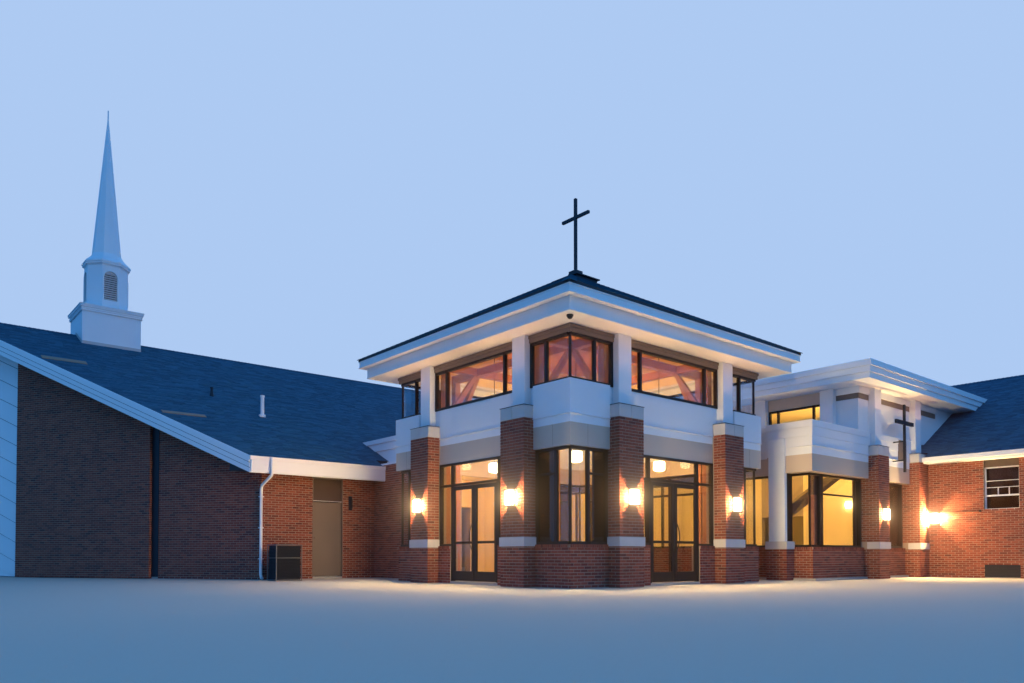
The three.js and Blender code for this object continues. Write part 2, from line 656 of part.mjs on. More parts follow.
function addSanctuaryWalls() {
  const high = 9000;
  const t = SANCTUARY_WALL;
  // The wall's inner face meets the prow's inner face at this X
  const innerX = SANCTUARY_LEFT + (t - t * Math.sin(PROW_ANGLE)) / Math.cos(PROW_ANGLE);
  const innerCorner = [innerX, SANCTUARY_FRONT + t];
  const frontY = [SANCTUARY_FRONT, SANCTUARY_FRONT + t];
  const wallUp = (xRange, z = [FLOOR, high]) => box(xRange, frontY, z).intersect(underSanctuaryRoof);
  addPiece("sanctuary_wall_front_left", wallUp([innerX, SIDE_DOOR[0]]), material.brick);
  addPiece("sanctuary_wall_over_door", wallUp(SIDE_DOOR, [SIDE_PANEL_TOP, high]), material.brick);
  addPiece("side_door_panel", box(SIDE_DOOR, [SANCTUARY_FRONT + 60, SANCTUARY_FRONT + 160],
    [SIDE_DOOR_TOP + DOOR_GAP, SIDE_PANEL_TOP]), material.brownDoor);
  let right = wallUp([SIDE_DOOR[1], SANCTUARY_RIGHT - t]);
  for (const x of [LINK_PASSAGE, HALL_PASSAGE]) {
    right = right.subtract(box(x, [SANCTUARY_FRONT - 1, SANCTUARY_FRONT + t + 1], [FLOOR - 1, PASSAGE_TOP]));
  }
  addPiece("sanctuary_wall_front_right", right, material.brick);

  const [stripFrom, stripTo] = PROW_STRIP;
  const prowFront = extrudeUp([
    [SANCTUARY_LEFT, SANCTUARY_FRONT],
    [innerX, SANCTUARY_FRONT],
    innerCorner,
    prowPoint(PROW_SIDING_FROM, -t),
    prowPoint(PROW_SIDING_FROM, PROW_WALL_OUT),
    prowPoint(stripTo, PROW_WALL_OUT),
    prowPoint(stripTo, -PROW_STRIP_DEPTH),
    prowPoint(stripFrom, -PROW_STRIP_DEPTH),
    prowPoint(stripFrom, 0),
  ].reverse(), [FLOOR, high]).intersect(underSanctuaryRoof);
  addPiece("prow_wall_front", prowFront, material.brick);

  const stripIn = SLOPE_GAP - PROW_STRIP_DEPTH;
  const stripOut = 20;
  const strip = extrudeUp([
    prowPoint(stripFrom + SLOPE_GAP, stripIn),
    prowPoint(stripFrom + SLOPE_GAP, stripOut),
    prowPoint(stripTo - SLOPE_GAP, stripOut),
    prowPoint(stripTo - SLOPE_GAP, stripIn),
  ].reverse(), [FLOOR, high]).intersect(underSanctuaryRoof);
  addPiece("prow_strip", strip, material.darkMetal);

  const edge = PROW_SIDING_FROM + SLOPE_GAP;
  const siding = extrudeUp([
    prowPoint(edge, 0),
    prowPoint(edge, -t),
    prowTip(-t),
    acrossRidge(prowPoint(edge, -t)),
    acrossRidge(prowPoint(edge, 0)),
    prowTip(0),
  ], [FLOOR, high]).intersect(underSanctuaryRoof);
  addPiece("prow_siding", siding, material.trim);

  const rear = extrudeUp([
    acrossRidge(prowPoint(PROW_SIDING_FROM, 0)),
    acrossRidge(prowPoint(PROW_SIDING_FROM, -t)),
    acrossRidge(innerCorner),
    [SANCTUARY_RIGHT - t, SANCTUARY_BACK - t],
    [SANCTUARY_RIGHT - t, SANCTUARY_FRONT],
    [SANCTUARY_RIGHT, SANCTUARY_FRONT],
    [SANCTUARY_RIGHT, SANCTUARY_BACK],
    [SANCTUARY_LEFT, SANCTUARY_BACK],
  ], [FLOOR, high]).intersect(underSanctuaryRoof);
  addPiece("sanctuary_walls_rear", rear, material.brick);
}

function addSanctuaryRoof() {
  const slab = extrudeUp(sanctuaryPlan(0), [0, 12000]).intersect(sanctuaryBand(0, -SANCTUARY_ROOF_DEPTH));
  const soffitY = [EAVE_FRONT_Y, SANCTUARY_FRONT];
  const eaveFill = extrudeUp(sanctuaryPlan(0), [SANCTUARY_SOFFIT, 3600])
    .intersect(box([-20000, -LINK_X], soffitY, [SANCTUARY_SOFFIT, 3600]))
    .intersect(sanctuaryBand(-10, -20000));
  addPiece("sanctuary_roof", slab.add(eaveFill), material.shingle);

  const boards = extrudeUp(sanctuaryPlan(FASCIA_BOARD), [0, 12000])
    .subtract(extrudeUp(sanctuaryPlan(SLOPE_GAP, false), [-1, 12001]))
    .subtract(box([-LINK_X, 20000], [0, SANCTUARY_FRONT + 1], [-1, 12001]))
    .intersect(sanctuaryBand(0, -FASCIA_DEPTH));
  addPiece("sanctuary_fascia", boards, material.trim);
}

function addSideDoor() {
  const gap = DOOR_GAP;
  const face = SANCTUARY_FRONT + SIDE_DOOR_INSET;
  const heights = [FLOOR + gap, SIDE_DOOR_TOP];
  const leaf = join(
    box([SIDE_DOOR[0] + gap, SIDE_DOOR[1] - gap], [face, face + 50], heights),
    box([SIDE_DOOR[0] + 70, SIDE_DOOR[0] + 110], [face - 50, face], [1240, 1280]),
    ...pivotPins(SIDE_DOOR[1] - gap - PIVOT_INSET, face + PIVOT_INSET, heights, [FLOOR, SIDE_DOOR_TOP + gap]),
  );
  addPiece("side_door", leaf, material.brownDoor);
}

function addSanctuaryDetails() {
  const wallY = SANCTUARY_FRONT;
  const wallSpout = wallY - DOWNSPOUT_DEPTH;
  const outletY = EAVE_FRONT_Y + 60;
  const spoutFoot = 40;
  const spout = extrudeAlongX([
    [wallY, spoutFoot],
    [wallY, 2700],
    [outletY + DOWNSPOUT_DEPTH, SANCTUARY_SOFFIT - 60],
    [outletY + DOWNSPOUT_DEPTH, SANCTUARY_SOFFIT],
    [outletY, SANCTUARY_SOFFIT],
    [outletY, SANCTUARY_SOFFIT - 100],
    [wallSpout, 2660],
    [wallSpout, spoutFoot],
  ], DOWNSPOUT_X);
  addPiece("downspout", spout, material.trim);

  const [unitX, unitY] = CONDENSER_AT;
  const [unitWidth, unitDepth] = CONDENSER_SIZE;
  const pipeX = [unitX + 350, unitX + 410];
  const unit = join(
    box([unitX, unitX + unitWidth], [unitY, unitY + unitDepth], [0, CONDENSER_TOP]),
    box(pipeX, [unitY + unitDepth, SANCTUARY_FRONT], [420, 480]),
  );
  addPiece("condenser_unit", unit, material.equipment);

  const ventRadius = 60;
  const ventLength = 1400;
  const pipe = new THREE.CylinderGeometry(ventRadius, ventRadius, ventLength, 16);
  pipe.rotateX(Math.PI / 2);
  pipe.translate(-4870, 9800, 5320);
  addPiece("roof_vent_pipe", toSolid(pipe).subtract(underSanctuaryTop), material.trim);
  const ventBox = box([-6050, -5930], [11310, 11430], [5900, 6390]).subtract(underSanctuaryTop);
  addPiece("roof_vent_box", ventBox, material.darkMetal);
}

function octagon(acrossFlats, x, y) {
  const radius = acrossFlats / 2 / Math.cos(Math.PI / 8);
  return Array.from({ length: 8 }, (_, i) => {
    const angle = Math.PI / 8 + (i * Math.PI) / 4;
    return [x + radius * Math.cos(angle), y + radius * Math.sin(angle)];
  });
}

function addSteeple() {
  const y = SANCTUARY_RIDGE_Y;
  const square = (half, z) => box([STEEPLE_X - half, STEEPLE_X + half], [y - half, y + half], z);
  const corniceMiddle = STEEPLE_BOX_TOP - CORNICE_RISE;
  const base = join(
    square(STEEPLE_HALF, [6000, STEEPLE_BOX_TOP]),
    square(STEEPLE_HALF + CORNICE_STEP, [corniceMiddle - CORNICE_RISE, corniceMiddle]),
    square(STEEPLE_HALF + 2 * CORNICE_STEP, [corniceMiddle, STEEPLE_BOX_TOP]),
  ).subtract(underSanctuaryTop);
  addPiece("steeple_base", base, material.trim);

  let belfry = join(
    extrudeUp(octagon(BELFRY_WIDTH, STEEPLE_X, y), [STEEPLE_BOX_TOP, BELFRY_TOP]),
    extrudeUp(octagon(BELFRY_CORNICE_WIDTH, STEEPLE_X, y), [BELFRY_TOP - 100, BELFRY_TOP]),
  );
  for (let i = 0; i < 4; i += 1) {
    const arch = new THREE.Shape();
    arch.moveTo(-ARCH_RADIUS, 0);
    arch.lineTo(ARCH_RADIUS, 0);
    arch.lineTo(ARCH_RADIUS, ARCH_STRAIGHT);
    arch.absarc(0, ARCH_STRAIGHT, ARCH_RADIUS, 0, Math.PI, false);
    const recess = new THREE.ExtrudeGeometry(arch, { depth: 200, bevelEnabled: false, curveSegments: 10 });
    recess.rotateX(Math.PI / 2);
    recess.translate(0, ARCH_DEPTH - BELFRY_WIDTH / 2, ARCH_LOW);
    recess.rotateZ((i * Math.PI) / 2);
    recess.translate(STEEPLE_X, y, 0);
    belfry = belfry.subtract(toSolid(recess));
  }
  addPiece("steeple_belfry", belfry, material.trim);

  const profile = SPIRE_PROFILE.map(([radius, z]) => new THREE.Vector2(radius, z));
  const spire = new THREE.LatheGeometry(profile, 8, Math.PI / 8);
  spire.rotateX(Math.PI / 2);
  spire.translate(STEEPLE_X, y, 0);
  addPiece("steeple_spire", toSolid(spire), material.trim);
}

// Hall

function addHallBrickwork() {
  const plinthX = [HALL_LEFT + 60, HALL_LEFT + 60 + WALL];
  const plinthY = [HALL_FRONT + 120, HALL_FRONT + 120 + WALL];
  const pieces = [
    box(plinthX, [plinthY[0], SANCTUARY_FRONT], [FLOOR, SILL]),
    box([plinthX[0], WING_LEFT], plinthY, [FLOOR, SILL]),
    box([CORNER_BOX_X - 90, HALL_LEFT + 60], [HALL_COLUMN_Y[0] - 60, HALL_COLUMN_Y[1] + 60], [0, 890]),
    box([CORNER_BOX_X - 115, HALL_LEFT + 60], [HALL_COLUMN_Y[0] - 85, HALL_COLUMN_Y[1] + 85], [890, 1110]),
  ];
  const slabCut = box([HALL_LEFT, WING_LEFT], [HALL_FRONT, SANCTUARY_FRONT], [-1, FLOOR]);
  for (const [x0, x1] of [PIER_B, PIER_C]) {
    const front = HALL_FRONT - HALL_PIER_OUT;
    const grow = (x) => [x[0] - BAND_OUT, Math.min(x[1] + BAND_OUT, WING_LEFT)];
    pieces.push(box([x0, x1], [front, HALL_FRONT - CORNER_PROUD], [0, CAP_TOP]));
    pieces.push(box([x0, x1], [HALL_FRONT - CORNER_PROUD, HALL_GLASS_Y], [0, LINTEL_LOW]));
    pieces.push(box(grow([x0, x1]), [front - BAND_OUT, HALL_FRONT - CORNER_PROUD], [BAND_LOW, BAND_HIGH]));
  }
  addPiece("hall_brickwork", join(...pieces).subtract(slabCut), material.brick);
}

function addHallUpper() {
  const band = (z) => join(
    box([HALL_LEFT, HALL_LEFT + 300], [HALL_FRONT, SANCTUARY_FRONT], z),
    box([HALL_LEFT, WING_LEFT], [HALL_FRONT, HALL_FRONT + 300], z),
    box([CORNER_BOX_X, HALL_LEFT + 300], [CORNER_BOX_Y, CORNER_BOX_BACK], z),
    box([CORNER_BOX_X, PIER_B[0]], [CORNER_BOX_Y, HALL_FRONT + 300], z),
    box([PIER_B[0], WING_LEFT], [HALL_FRONT - CORNER_PROUD, HALL_FRONT + 300], z),
  );
  addPiece("hall_lintel", band([LINTEL_LOW, LINTEL_HIGH]), material.lintel);
  const hole = box([UPPER_LEFT + 200, 11900], [HALL_FRONT + 300, UPPER_BACK], [4000, 5000]);
  const plate = box([HALL_LEFT, WING_LEFT], [HALL_FRONT, SANCTUARY_FRONT], [4230, BELT_HIGH]).subtract(hole);
  const rear = box([HALL_LEFT, WING_LEFT], [SANCTUARY_FRONT - WALL, SANCTUARY_FRONT], [LINTEL_HIGH, BELT_HIGH]);
  addPiece("hall_belt_roof", join(band([LINTEL_HIGH, BELT_HIGH]), plate, rear), material.trim);

  const column = join(
    box([CORNER_BOX_X - 60, HALL_LEFT + 60], HALL_COLUMN_Y, [1110, LINTEL_LOW]),
    box([CORNER_BOX_X - 60, CORNER_BOX_X], HALL_COLUMN_Y, [LINTEL_LOW, CAP_TOP]),
  );
  addPiece("hall_corner_column", column, material.trim);

  const glass = join(
    box([HALL_GLASS_X, HALL_GLASS_X + GLASS], [HALL_GLASS_Y, SANCTUARY_FRONT], [SILL, LINTEL_LOW]),
    box([HALL_GLASS_X, WING_LEFT], [HALL_GLASS_Y, HALL_GLASS_Y + GLASS], [SILL, LINTEL_LOW]),
  );
  addPiece("hall_glass", glass, material.glass);
}

function addHallClerestory() {
  const wallTop = [BELT_HIGH, UPPER_WALL_TOP];
  const right = 15160;
  let walls = join(
    box([UPPER_LEFT, UPPER_LEFT + 200], [HALL_FRONT, UPPER_BACK + 200], wallTop),
    box([UPPER_LEFT, right], [HALL_FRONT, HALL_FRONT + 200], wallTop),
    box([UPPER_LEFT, right], [UPPER_BACK, UPPER_BACK + 200], wallTop),
  );
  const columns = [-3370, -1040, 1290];
  const columnWidth = 430;
  const glassX = [UPPER_LEFT + 200, UPPER_LEFT + 200 + GLASS];
  columns.slice(0, -1).forEach((y, i) => {
    const bay = [y + columnWidth, columns[i + 1]];
    walls = walls.subtract(box([UPPER_LEFT - 1, UPPER_LEFT + 201], bay, [BELT_HIGH - 1, UPPER_WINDOW_HEAD]));
  });
  const sheetY = [columns[0] + columnWidth - 60, columns.at(-1) + 60];
  addPiece("hall_upper_glass", box(glassX, sheetY, [BELT_HIGH, UPPER_WINDOW_HEAD + 60]), material.glass);
  for (const y of columns) {
    walls = walls.add(box([UPPER_LEFT - 200, UPPER_LEFT], [y, y + columnWidth], wallTop));
  }
  for (const [x0, x1] of [PIER_B, PIER_C]) {
    const middle = (x0 + x1) / 2;
    const columnX = [middle - columnWidth / 2, middle + columnWidth / 2];
    walls = walls.add(box(columnX, [HALL_FRONT - 210, HALL_FRONT], wallTop));
    walls = walls.add(box(columnX, [HALL_FRONT - 210, HALL_FRONT - CORNER_PROUD], [CAP_TOP, BELT_HIGH]));
  }
  const overWing = box([WING_LEFT, 30000], [-20000, 20000], [0, 9000]);
  addPiece("hall_upper_walls", walls.subtract(underWingTop.intersect(overWing)), material.trim);

  const step = 45;
  const third = (UPPER_ROOF_TOP - UPPER_WALL_TOP) / 3;
  const roof = join(...[0, 1, 2].map((level) => {
    const inset = step * (2 - level);
    return box(
      [UPPER_ROOF_LEFT + inset, 17000],
      [UPPER_ROOF_FRONT + inset, UPPER_BACK + 900 - inset],
      [UPPER_WALL_TOP + third * level, UPPER_WALL_TOP + third * (level + 1)],
    );
  })).subtract(underWingTop);
  addPiece("hall_upper_roof", roof, material.trim);

  const crossY = [HALL_FRONT - 460, HALL_FRONT - 400];
  const standoffY = [HALL_FRONT - 400, HALL_FRONT - CORNER_PROUD];
  const standoffX = [WALL_CROSS_X - 20, WALL_CROSS_X + 20];
  const cross = join(
    box([WALL_CROSS_X - 45, WALL_CROSS_X + 45], crossY, WALL_CROSS_Z),
    box([WALL_CROSS_X - 625, WALL_CROSS_X + 625], crossY, WALL_CROSS_ARM_Z),
    box(standoffX, standoffY, [3700, 3740]),
    box(standoffX, standoffY, [4300, 4340]),
  );
  addPiece("hall_wall_cross", cross, material.darkMetal);
}

// Wing

function addWing() {
  const top = 9000;
  const wallX = [WING_LEFT, WING_LEFT + WALL];
  let left = box(wallX, [WING_FRONT, WING_BACK], [FLOOR, top]).intersect(underWingRoof);
  const centres = Array.from({ length: WING_BAYS }, (_, i) => WING_FIRST_WINDOW - i * WING_BAY);
  const windowY = (centre) => [centre - WING_WINDOW_WIDTH / 2, centre + WING_WINDOW_WIDTH / 2];
  for (const centre of centres) {
    left = left.subtract(box([WING_LEFT - 1, WING_LEFT + WALL + 1], windowY(centre), WING_WINDOW_Z));
  }
  const passage = box([WING_LEFT - 1, WING_LEFT + WALL + 1], WING_PASSAGE, [FLOOR - 1, WING_PASSAGE_TOP]);
  // closes the hall's rear corner, between the sanctuary and the wing
  const corner = box([SANCTUARY_RIGHT - WALL, WING_LEFT + 1], [SANCTUARY_FRONT - WALL, SANCTUARY_FRONT],
    [FLOOR, LINTEL_HIGH]);
  addPiece("wing_wall_left", left.subtract(passage).add(corner), material.brick);

  const rightX = [WING_RIGHT - WALL, WING_RIGHT];
  let outer = join(
    box(rightX, [WING_FRONT, WING_BACK], [FLOOR, top]),
    box([WING_LEFT + WALL, WING_RIGHT], [WING_FRONT, WING_FRONT + WALL], [FLOOR, top]),
    box([WING_LEFT + WALL, WING_RIGHT], [WING_BACK - WALL, WING_BACK], [FLOOR, top]),
  ).intersect(underWingRoof);
  for (const centre of centres) {
    outer = outer.subtract(box([rightX[0] - 1, rightX[1] + 1], windowY(centre), WING_WINDOW_Z));
  }
  addPiece("wing_walls_outer", outer, material.brick);

  const sheet = (x) => box([x, x + GLASS], [windowY(centres.at(-1))[0] - 60, windowY(centres[0])[1] + 60],
    [WING_WINDOW_Z[0] - 60, WING_WINDOW_Z[1] + 10]);
  addPiece("wing_windows_left", sheet(WING_LEFT + WALL), material.glass);
  addPiece("wing_windows_right", sheet(WING_RIGHT - WALL - GLASS), material.glass);

  const eaveX = WING_LEFT - WING_EAVE;
  const hallSide = HALL_FRONT - HALL_PIER_OUT - BAND_OUT - 20;
  const yRange = [WING_FRONT - WING_EAVE, WING_BACK];
  const roof = wingBand(0, -WING_ROOF_DEPTH, [eaveX, WING_RIGHT + WING_EAVE], yRange)
    .subtract(box([eaveX - 1, WING_LEFT], [hallSide, WING_BACK + 1], [0, 9000]));
  addPiece("wing_roof", roof, material.shingle);
}

addFloor();
addLobbyBrickwork();
addLobbyUpper();
addLobbyRoof();
addTimberFrame();
addCornerGlass();
addLobbyDoors();
addLink();
addSanctuaryWalls();
addSanctuaryRoof();
addSideDoor();
addSanctuaryDetails();
addSteeple();
addHallBrickwork();
addHallUpper();
addHallClerestory();
addWing();

export default building;
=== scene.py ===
# A modern church at half size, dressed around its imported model.
# Sizes in the dictionaries are real millimetres unless a note says otherwise.
import math
import random

import bpy
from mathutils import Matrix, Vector


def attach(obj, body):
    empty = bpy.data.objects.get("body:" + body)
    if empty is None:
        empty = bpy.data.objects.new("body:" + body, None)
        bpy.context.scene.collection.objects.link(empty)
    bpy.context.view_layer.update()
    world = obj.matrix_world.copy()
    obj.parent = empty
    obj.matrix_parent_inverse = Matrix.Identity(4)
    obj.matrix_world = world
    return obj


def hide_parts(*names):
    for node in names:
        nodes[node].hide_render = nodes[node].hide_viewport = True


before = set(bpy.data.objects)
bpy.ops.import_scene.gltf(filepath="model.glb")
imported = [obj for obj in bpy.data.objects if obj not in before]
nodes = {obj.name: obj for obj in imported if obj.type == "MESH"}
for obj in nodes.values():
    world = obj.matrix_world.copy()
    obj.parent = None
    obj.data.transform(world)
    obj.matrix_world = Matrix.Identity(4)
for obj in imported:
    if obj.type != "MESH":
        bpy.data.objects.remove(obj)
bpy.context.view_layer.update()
mm = 0.0005  # a real millimetre in this half-size model

# The sizes that the dressing shares with the frame
plan = {
    "floor": 60,
    "sill": 950,
    "bandLow": 910,
    "bandHigh": 1120,
    "lintelLow": 3060,
    "capLow": 3760,
    "capTop": 4050,
    "beltHigh": 4480,
    "windowHead": 5500,
    "soffit": 5670,
    "pier": 800,
    "pierOut": 330,
    "upperColumn": 430,
    "glassInset": 60,
    "doorHalf": 885,
    "doorGap": 18,
    "leafTop": 2450,
}
# Half length, distance out from the centre and corner bay of each side of the lobby
lobbySides = {
    "front": (3565, 3390, 1185),
    "left": (3390, 3565, 1115),
    "back": (3565, 3390, 1185),
    "right": (3390, 3565, 1115),
}
sideAlong = {"front": (1, 0), "left": (0, -1), "back": (-1, 0), "right": (0, 1)}
lobbyHalf = (3565, 3390)
cornerSigns = [(sx, sy) for sx in (-1, 1) for sy in (-1, 1)]


def placeOnSide(side, s, out):
    ax, ay = sideAlong[side]
    return ax * s + ay * out, ay * s - ax * out


def boxOnSide(side, s, out, z):
    first = placeOnSide(side, s[0], out[0])
    second = placeOnSide(side, s[1], out[1])
    return tuple(sorted(pair) for pair in zip(first, second)) + (z,)


# Materials

looks = {}


def startGroup(name, inputs, outputs):
    group = bpy.data.node_groups.new(name, "ShaderNodeTree")
    for label, kind, value in inputs:
        socket = group.interface.new_socket(name=label, in_out="INPUT", socket_type=kind)
        socket.default_value = value
    for label, kind in outputs:
        group.interface.new_socket(name=label, in_out="OUTPUT", socket_type=kind)
    return group, group.nodes.new("NodeGroupInput"), group.nodes.new("NodeGroupOutput")


def makeDriftGroup():
    group, start, end = startGroup(
        "toneDrift",
        [
            ("Color", "NodeSocketColor", (1, 1, 1, 1)),
            ("Amount", "NodeSocketFloat", 0.1),
            ("Scale", "NodeSocketFloat", 4),
        ],
        [("Color", "NodeSocketColor")],
    )
    place = group.nodes.new("ShaderNodeTexCoord")
    noise = group.nodes.new("ShaderNodeTexNoise")
    noise.inputs["Detail"].default_value = 6
    swing = group.nodes.new("ShaderNodeMath")
    swing.operation = "SUBTRACT"
    swing.inputs[1].default_value = 0.5
    scaled = group.nodes.new("ShaderNodeMath")
    scaled.operation = "MULTIPLY_ADD"
    scaled.inputs[2].default_value = 1
    shade = group.nodes.new("ShaderNodeHueSaturation")
    link = group.links.new
    link(place.outputs["Object"], noise.inputs["Vector"])
    link(start.outputs["Scale"], noise.inputs["Scale"])
    link(noise.outputs["Fac"], swing.inputs[0])
    link(swing.outputs[0], scaled.inputs[0])
    link(start.outputs["Amount"], scaled.inputs[1])
    link(scaled.outputs[0], shade.inputs["Value"])
    link(start.outputs["Color"], shade.inputs["Color"])
    link(shade.outputs["Color"], end.inputs["Color"])
    return group


def makeReliefGroup():
    group, start, end = startGroup(
        "fineRelief",
        [
            ("Scale", "NodeSocketFloat", 60),
            ("Strength", "NodeSocketFloat", 0.2),
            ("Stretch", "NodeSocketVector", (1, 1, 1)),
        ],
        [("Normal", "NodeSocketVector"), ("Mask", "NodeSocketFloat")],
    )
    place = group.nodes.new("ShaderNodeTexCoord")
    stretch = group.nodes.new("ShaderNodeVectorMath")
    stretch.operation = "MULTIPLY"
    noise = group.nodes.new("ShaderNodeTexNoise")
    noise.inputs["Detail"].default_value = 5
    bump = group.nodes.new("ShaderNodeBump")
    bump.inputs["Distance"].default_value = 0.002
    link = group.links.new
    link(place.outputs["Object"], stretch.inputs[0])
    link(start.outputs["Stretch"], stretch.inputs[1])
    link(stretch.outputs[0], noise.inputs["Vector"])
    link(start.outputs["Scale"], noise.inputs["Scale"])
    link(noise.outputs["Fac"], bump.inputs["Height"])
    link(start.outputs["Strength"], bump.inputs["Strength"])
    link(bump.outputs["Normal"], end.inputs["Normal"])
    link(noise.outputs["Fac"], end.inputs["Mask"])
    return group


driftGroup = makeDriftGroup()
reliefGroup = makeReliefGroup()


def addGroup(material, group, **values):
    node = material.node_tree.nodes.new("ShaderNodeGroup")
    node.node_tree = group
    for label, value in values.items():
        node.inputs[label].default_value = value
    return node


def makeLook(name, slot, color, roughness, metallic, drift, driftScale, relief, reliefScale, extra):
    material = bpy.data.materials.new(name)
    material.use_nodes = True
    shader = material.node_tree.nodes["Principled BSDF"]
    shader.inputs["Roughness"].default_value = roughness
    shader.inputs["Metallic"].default_value = metallic
    link = material.node_tree.links.new
    stretch = extra.get("stretch", (1, 1, 1))
    bumps = addGroup(material, reliefGroup, Scale=reliefScale, Strength=relief, Stretch=stretch)
    link(bumps.outputs["Normal"], shader.inputs["Normal"])
    tint = addGroup(material, driftGroup, Color=(*color, 1), Amount=drift, Scale=driftScale)
    if "tones" in extra:
        attribute = material.node_tree.nodes.new("ShaderNodeAttribute")
        attribute.attribute_name = "tone"
        ramp = material.node_tree.nodes.new("ShaderNodeValToRGB")
        steps = ramp.color_ramp.elements
        for index, tone in enumerate(extra["tones"]):
            place = index / (len(extra["tones"]) - 1)
            step = steps[index] if index < 2 else steps.new(place)
            step.position = place
            step.color = (*tone, 1)
        link(attribute.outputs["Fac"], ramp.inputs["Fac"])
        link(ramp.outputs["Color"], tint.inputs["Color"])
    elif "grain" in extra:
        ramp = material.node_tree.nodes.new("ShaderNodeMix")
        ramp.data_type = "RGBA"
        ramp.inputs[6].default_value = (*color, 1)
        ramp.inputs[7].default_value = (*extra["grain"], 1)
        link(bumps.outputs["Mask"], ramp.inputs["Factor"])
        link(ramp.outputs[2], tint.inputs["Color"])
    link(tint.outputs["Color"], shader.inputs["Base Color"])
    if "glow" in extra:
        shader.inputs["Emission Color"].default_value = (*extra["glowColor"], 1)
        shader.inputs["Emission Strength"].default_value = extra["glow"]
    if "alpha" in extra:
        shader.inputs["Alpha"].default_value = extra["alpha"]
        shader.inputs["Transmission Weight"].default_value = extra["transmission"]
        shader.inputs["IOR"].default_value = 1.45
    looks[name] = material


brickTones = [(0.095, 0.026, 0.022), (0.150, 0.036, 0.025), (0.190, 0.045, 0.028), (0.225, 0.054, 0.031),
              (0.285, 0.078, 0.044)]
shingleTones = [(0.012, 0.068, 0.112), (0.016, 0.080, 0.130), (0.020, 0.093, 0.150), (0.025, 0.110, 0.172)]
# Each finish: slot, colour, roughness, metal, drift of its tone and the drift's scale, relief and its scale
finishes = {
    "faceBrick": ("brick", (0.3, 0.1, 0.06), 0.85, 0, 0.16, 5, 0.4, 160),
    "mortar": ("brick", (0.34, 0.26, 0.20), 0.95, 0, 0.2, 6, 0.5, 240),
    "castStone": ("concrete", (0.52, 0.49, 0.47), 0.8, 0, 0.22, 5, 0.35, 180),
    "whitePaint": ("white_trim", (0.78, 0.79, 0.80), 0.5, 0, 0.10, 2.2, 0.06, 90),
    "whiteStucco": ("white_trim", (0.74, 0.75, 0.77), 0.75, 0, 0.10, 1.6, 0.25, 420),
    "taupePanel": ("lintel", (0.52, 0.42, 0.34), 0.5, 0, 0.12, 2, 0.08, 120),
    "asphaltShingle": ("shingle", (0.04, 0.05, 0.06), 0.95, 0, 0.25, 7, 0.7, 500),
    "clearGlass": ("glass", (0.92, 0.95, 0.97), 0.02, 0, 0.02, 3, 0.01, 2),
    "bronzeGlass": ("glass", (0.045, 0.020, 0.010), 0.06, 0, 0.1, 3, 0.01, 2),
    "darkBronze": ("bronze", (0.035, 0.027, 0.024), 0.38, 0.7, 0.25, 5, 0.04, 220),
    "blackSteel": ("dark_metal", (0.022, 0.028, 0.036), 0.45, 0.6, 0.25, 6, 0.1, 200),
    "stainedTimber": ("timber", (0.46, 0.19, 0.11), 0.5, 0, 0.25, 3, 0.2, 16),
    "ceilingBoard": ("timber", (0.60, 0.26, 0.16), 0.55, 0, 0.2, 2, 0.15, 10),
    "brownSteel": ("brown_paint", (0.20, 0.15, 0.115), 0.5, 0.1, 0.2, 2, 0.05, 140),
    "umberPanel": ("brown_paint", (0.085, 0.055, 0.042), 0.55, 0, 0.2, 3, 0.05, 140),
    "cabinetPaint": ("equipment", (0.17, 0.16, 0.15), 0.5, 0.2, 0.2, 4, 0.05, 140),
    "louvreShadow": ("dark_metal", (0.03, 0.03, 0.035), 0.7, 0.2, 0.2, 3, 0.05, 80),
    "warmPlaster": ("lintel", (0.84, 0.66, 0.36), 0.9, 0, 0.08, 1.5, 0.1, 260),
    "floorConcrete": ("concrete", (0.40, 0.37, 0.34), 0.8, 0, 0.25, 2, 0.2, 120),
    "tanFlashing": ("lintel", (0.28, 0.18, 0.11), 0.7, 0, 0.25, 5, 0.1, 80),
    "opalLamp": ("glass", (0.95, 0.90, 0.80), 0.35, 0, 0.02, 3, 0.01, 80),
    "lampGlass": ("glass", (0.95, 0.88, 0.72), 0.4, 0, 0.02, 3, 0.01, 80),
}
# What some finishes have besides
finishExtras = {
    "faceBrick": {"tones": brickTones},
    "asphaltShingle": {"tones": shingleTones},
    "clearGlass": {"alpha": 0.12, "transmission": 1.0},
    "bronzeGlass": {"alpha": 0.93, "transmission": 0.25},
    "stainedTimber": {"grain": (0.26, 0.09, 0.05), "stretch": (1.2, 1.2, 6)},
    "ceilingBoard": {"grain": (0.44, 0.16, 0.09), "stretch": (1, 8, 1)},
    "opalLamp": {"glow": 4.5, "glowColor": (1.0, 0.80, 0.46)},
    "lampGlass": {"glow": 46, "glowColor": (1.0, 0.70, 0.34)},
}
for finish, values in finishes.items():
    makeLook(finish, *values, finishExtras.get(finish, {}))
print("materials made")


# Modelling helpers


def clearSelection():
    bpy.ops.object.select_all(action="DESELECT")


def dress(piece, look, body="building", stands=()):
    piece.data.materials.clear()
    piece.data.materials.append(looks[look])
    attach(piece, body)
    if stands:
        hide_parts(*stands)
    return piece


def selectOnly(piece):
    clearSelection()
    piece.select_set(True)
    bpy.context.view_layer.objects.active = piece


def addBevel(piece, width, segments):
    modifier = piece.modifiers.new("Bevel", "BEVEL")
    modifier.width = width * mm
    modifier.segments = segments
    modifier.limit_method = "ANGLE"
    modifier.angle_limit = math.radians(30)
    return modifier


def bevelEdges(piece, width):
    modifier = addBevel(piece, width, 1)
    selectOnly(piece)
    bpy.ops.object.modifier_apply(modifier=modifier.name)


def finishPiece(piece, bevel, look, body="building", stands=()):
    bpy.ops.object.mode_set(mode="OBJECT")
    if bevel:
        bevelEdges(piece, bevel)
    return dress(piece, look, body, stands)


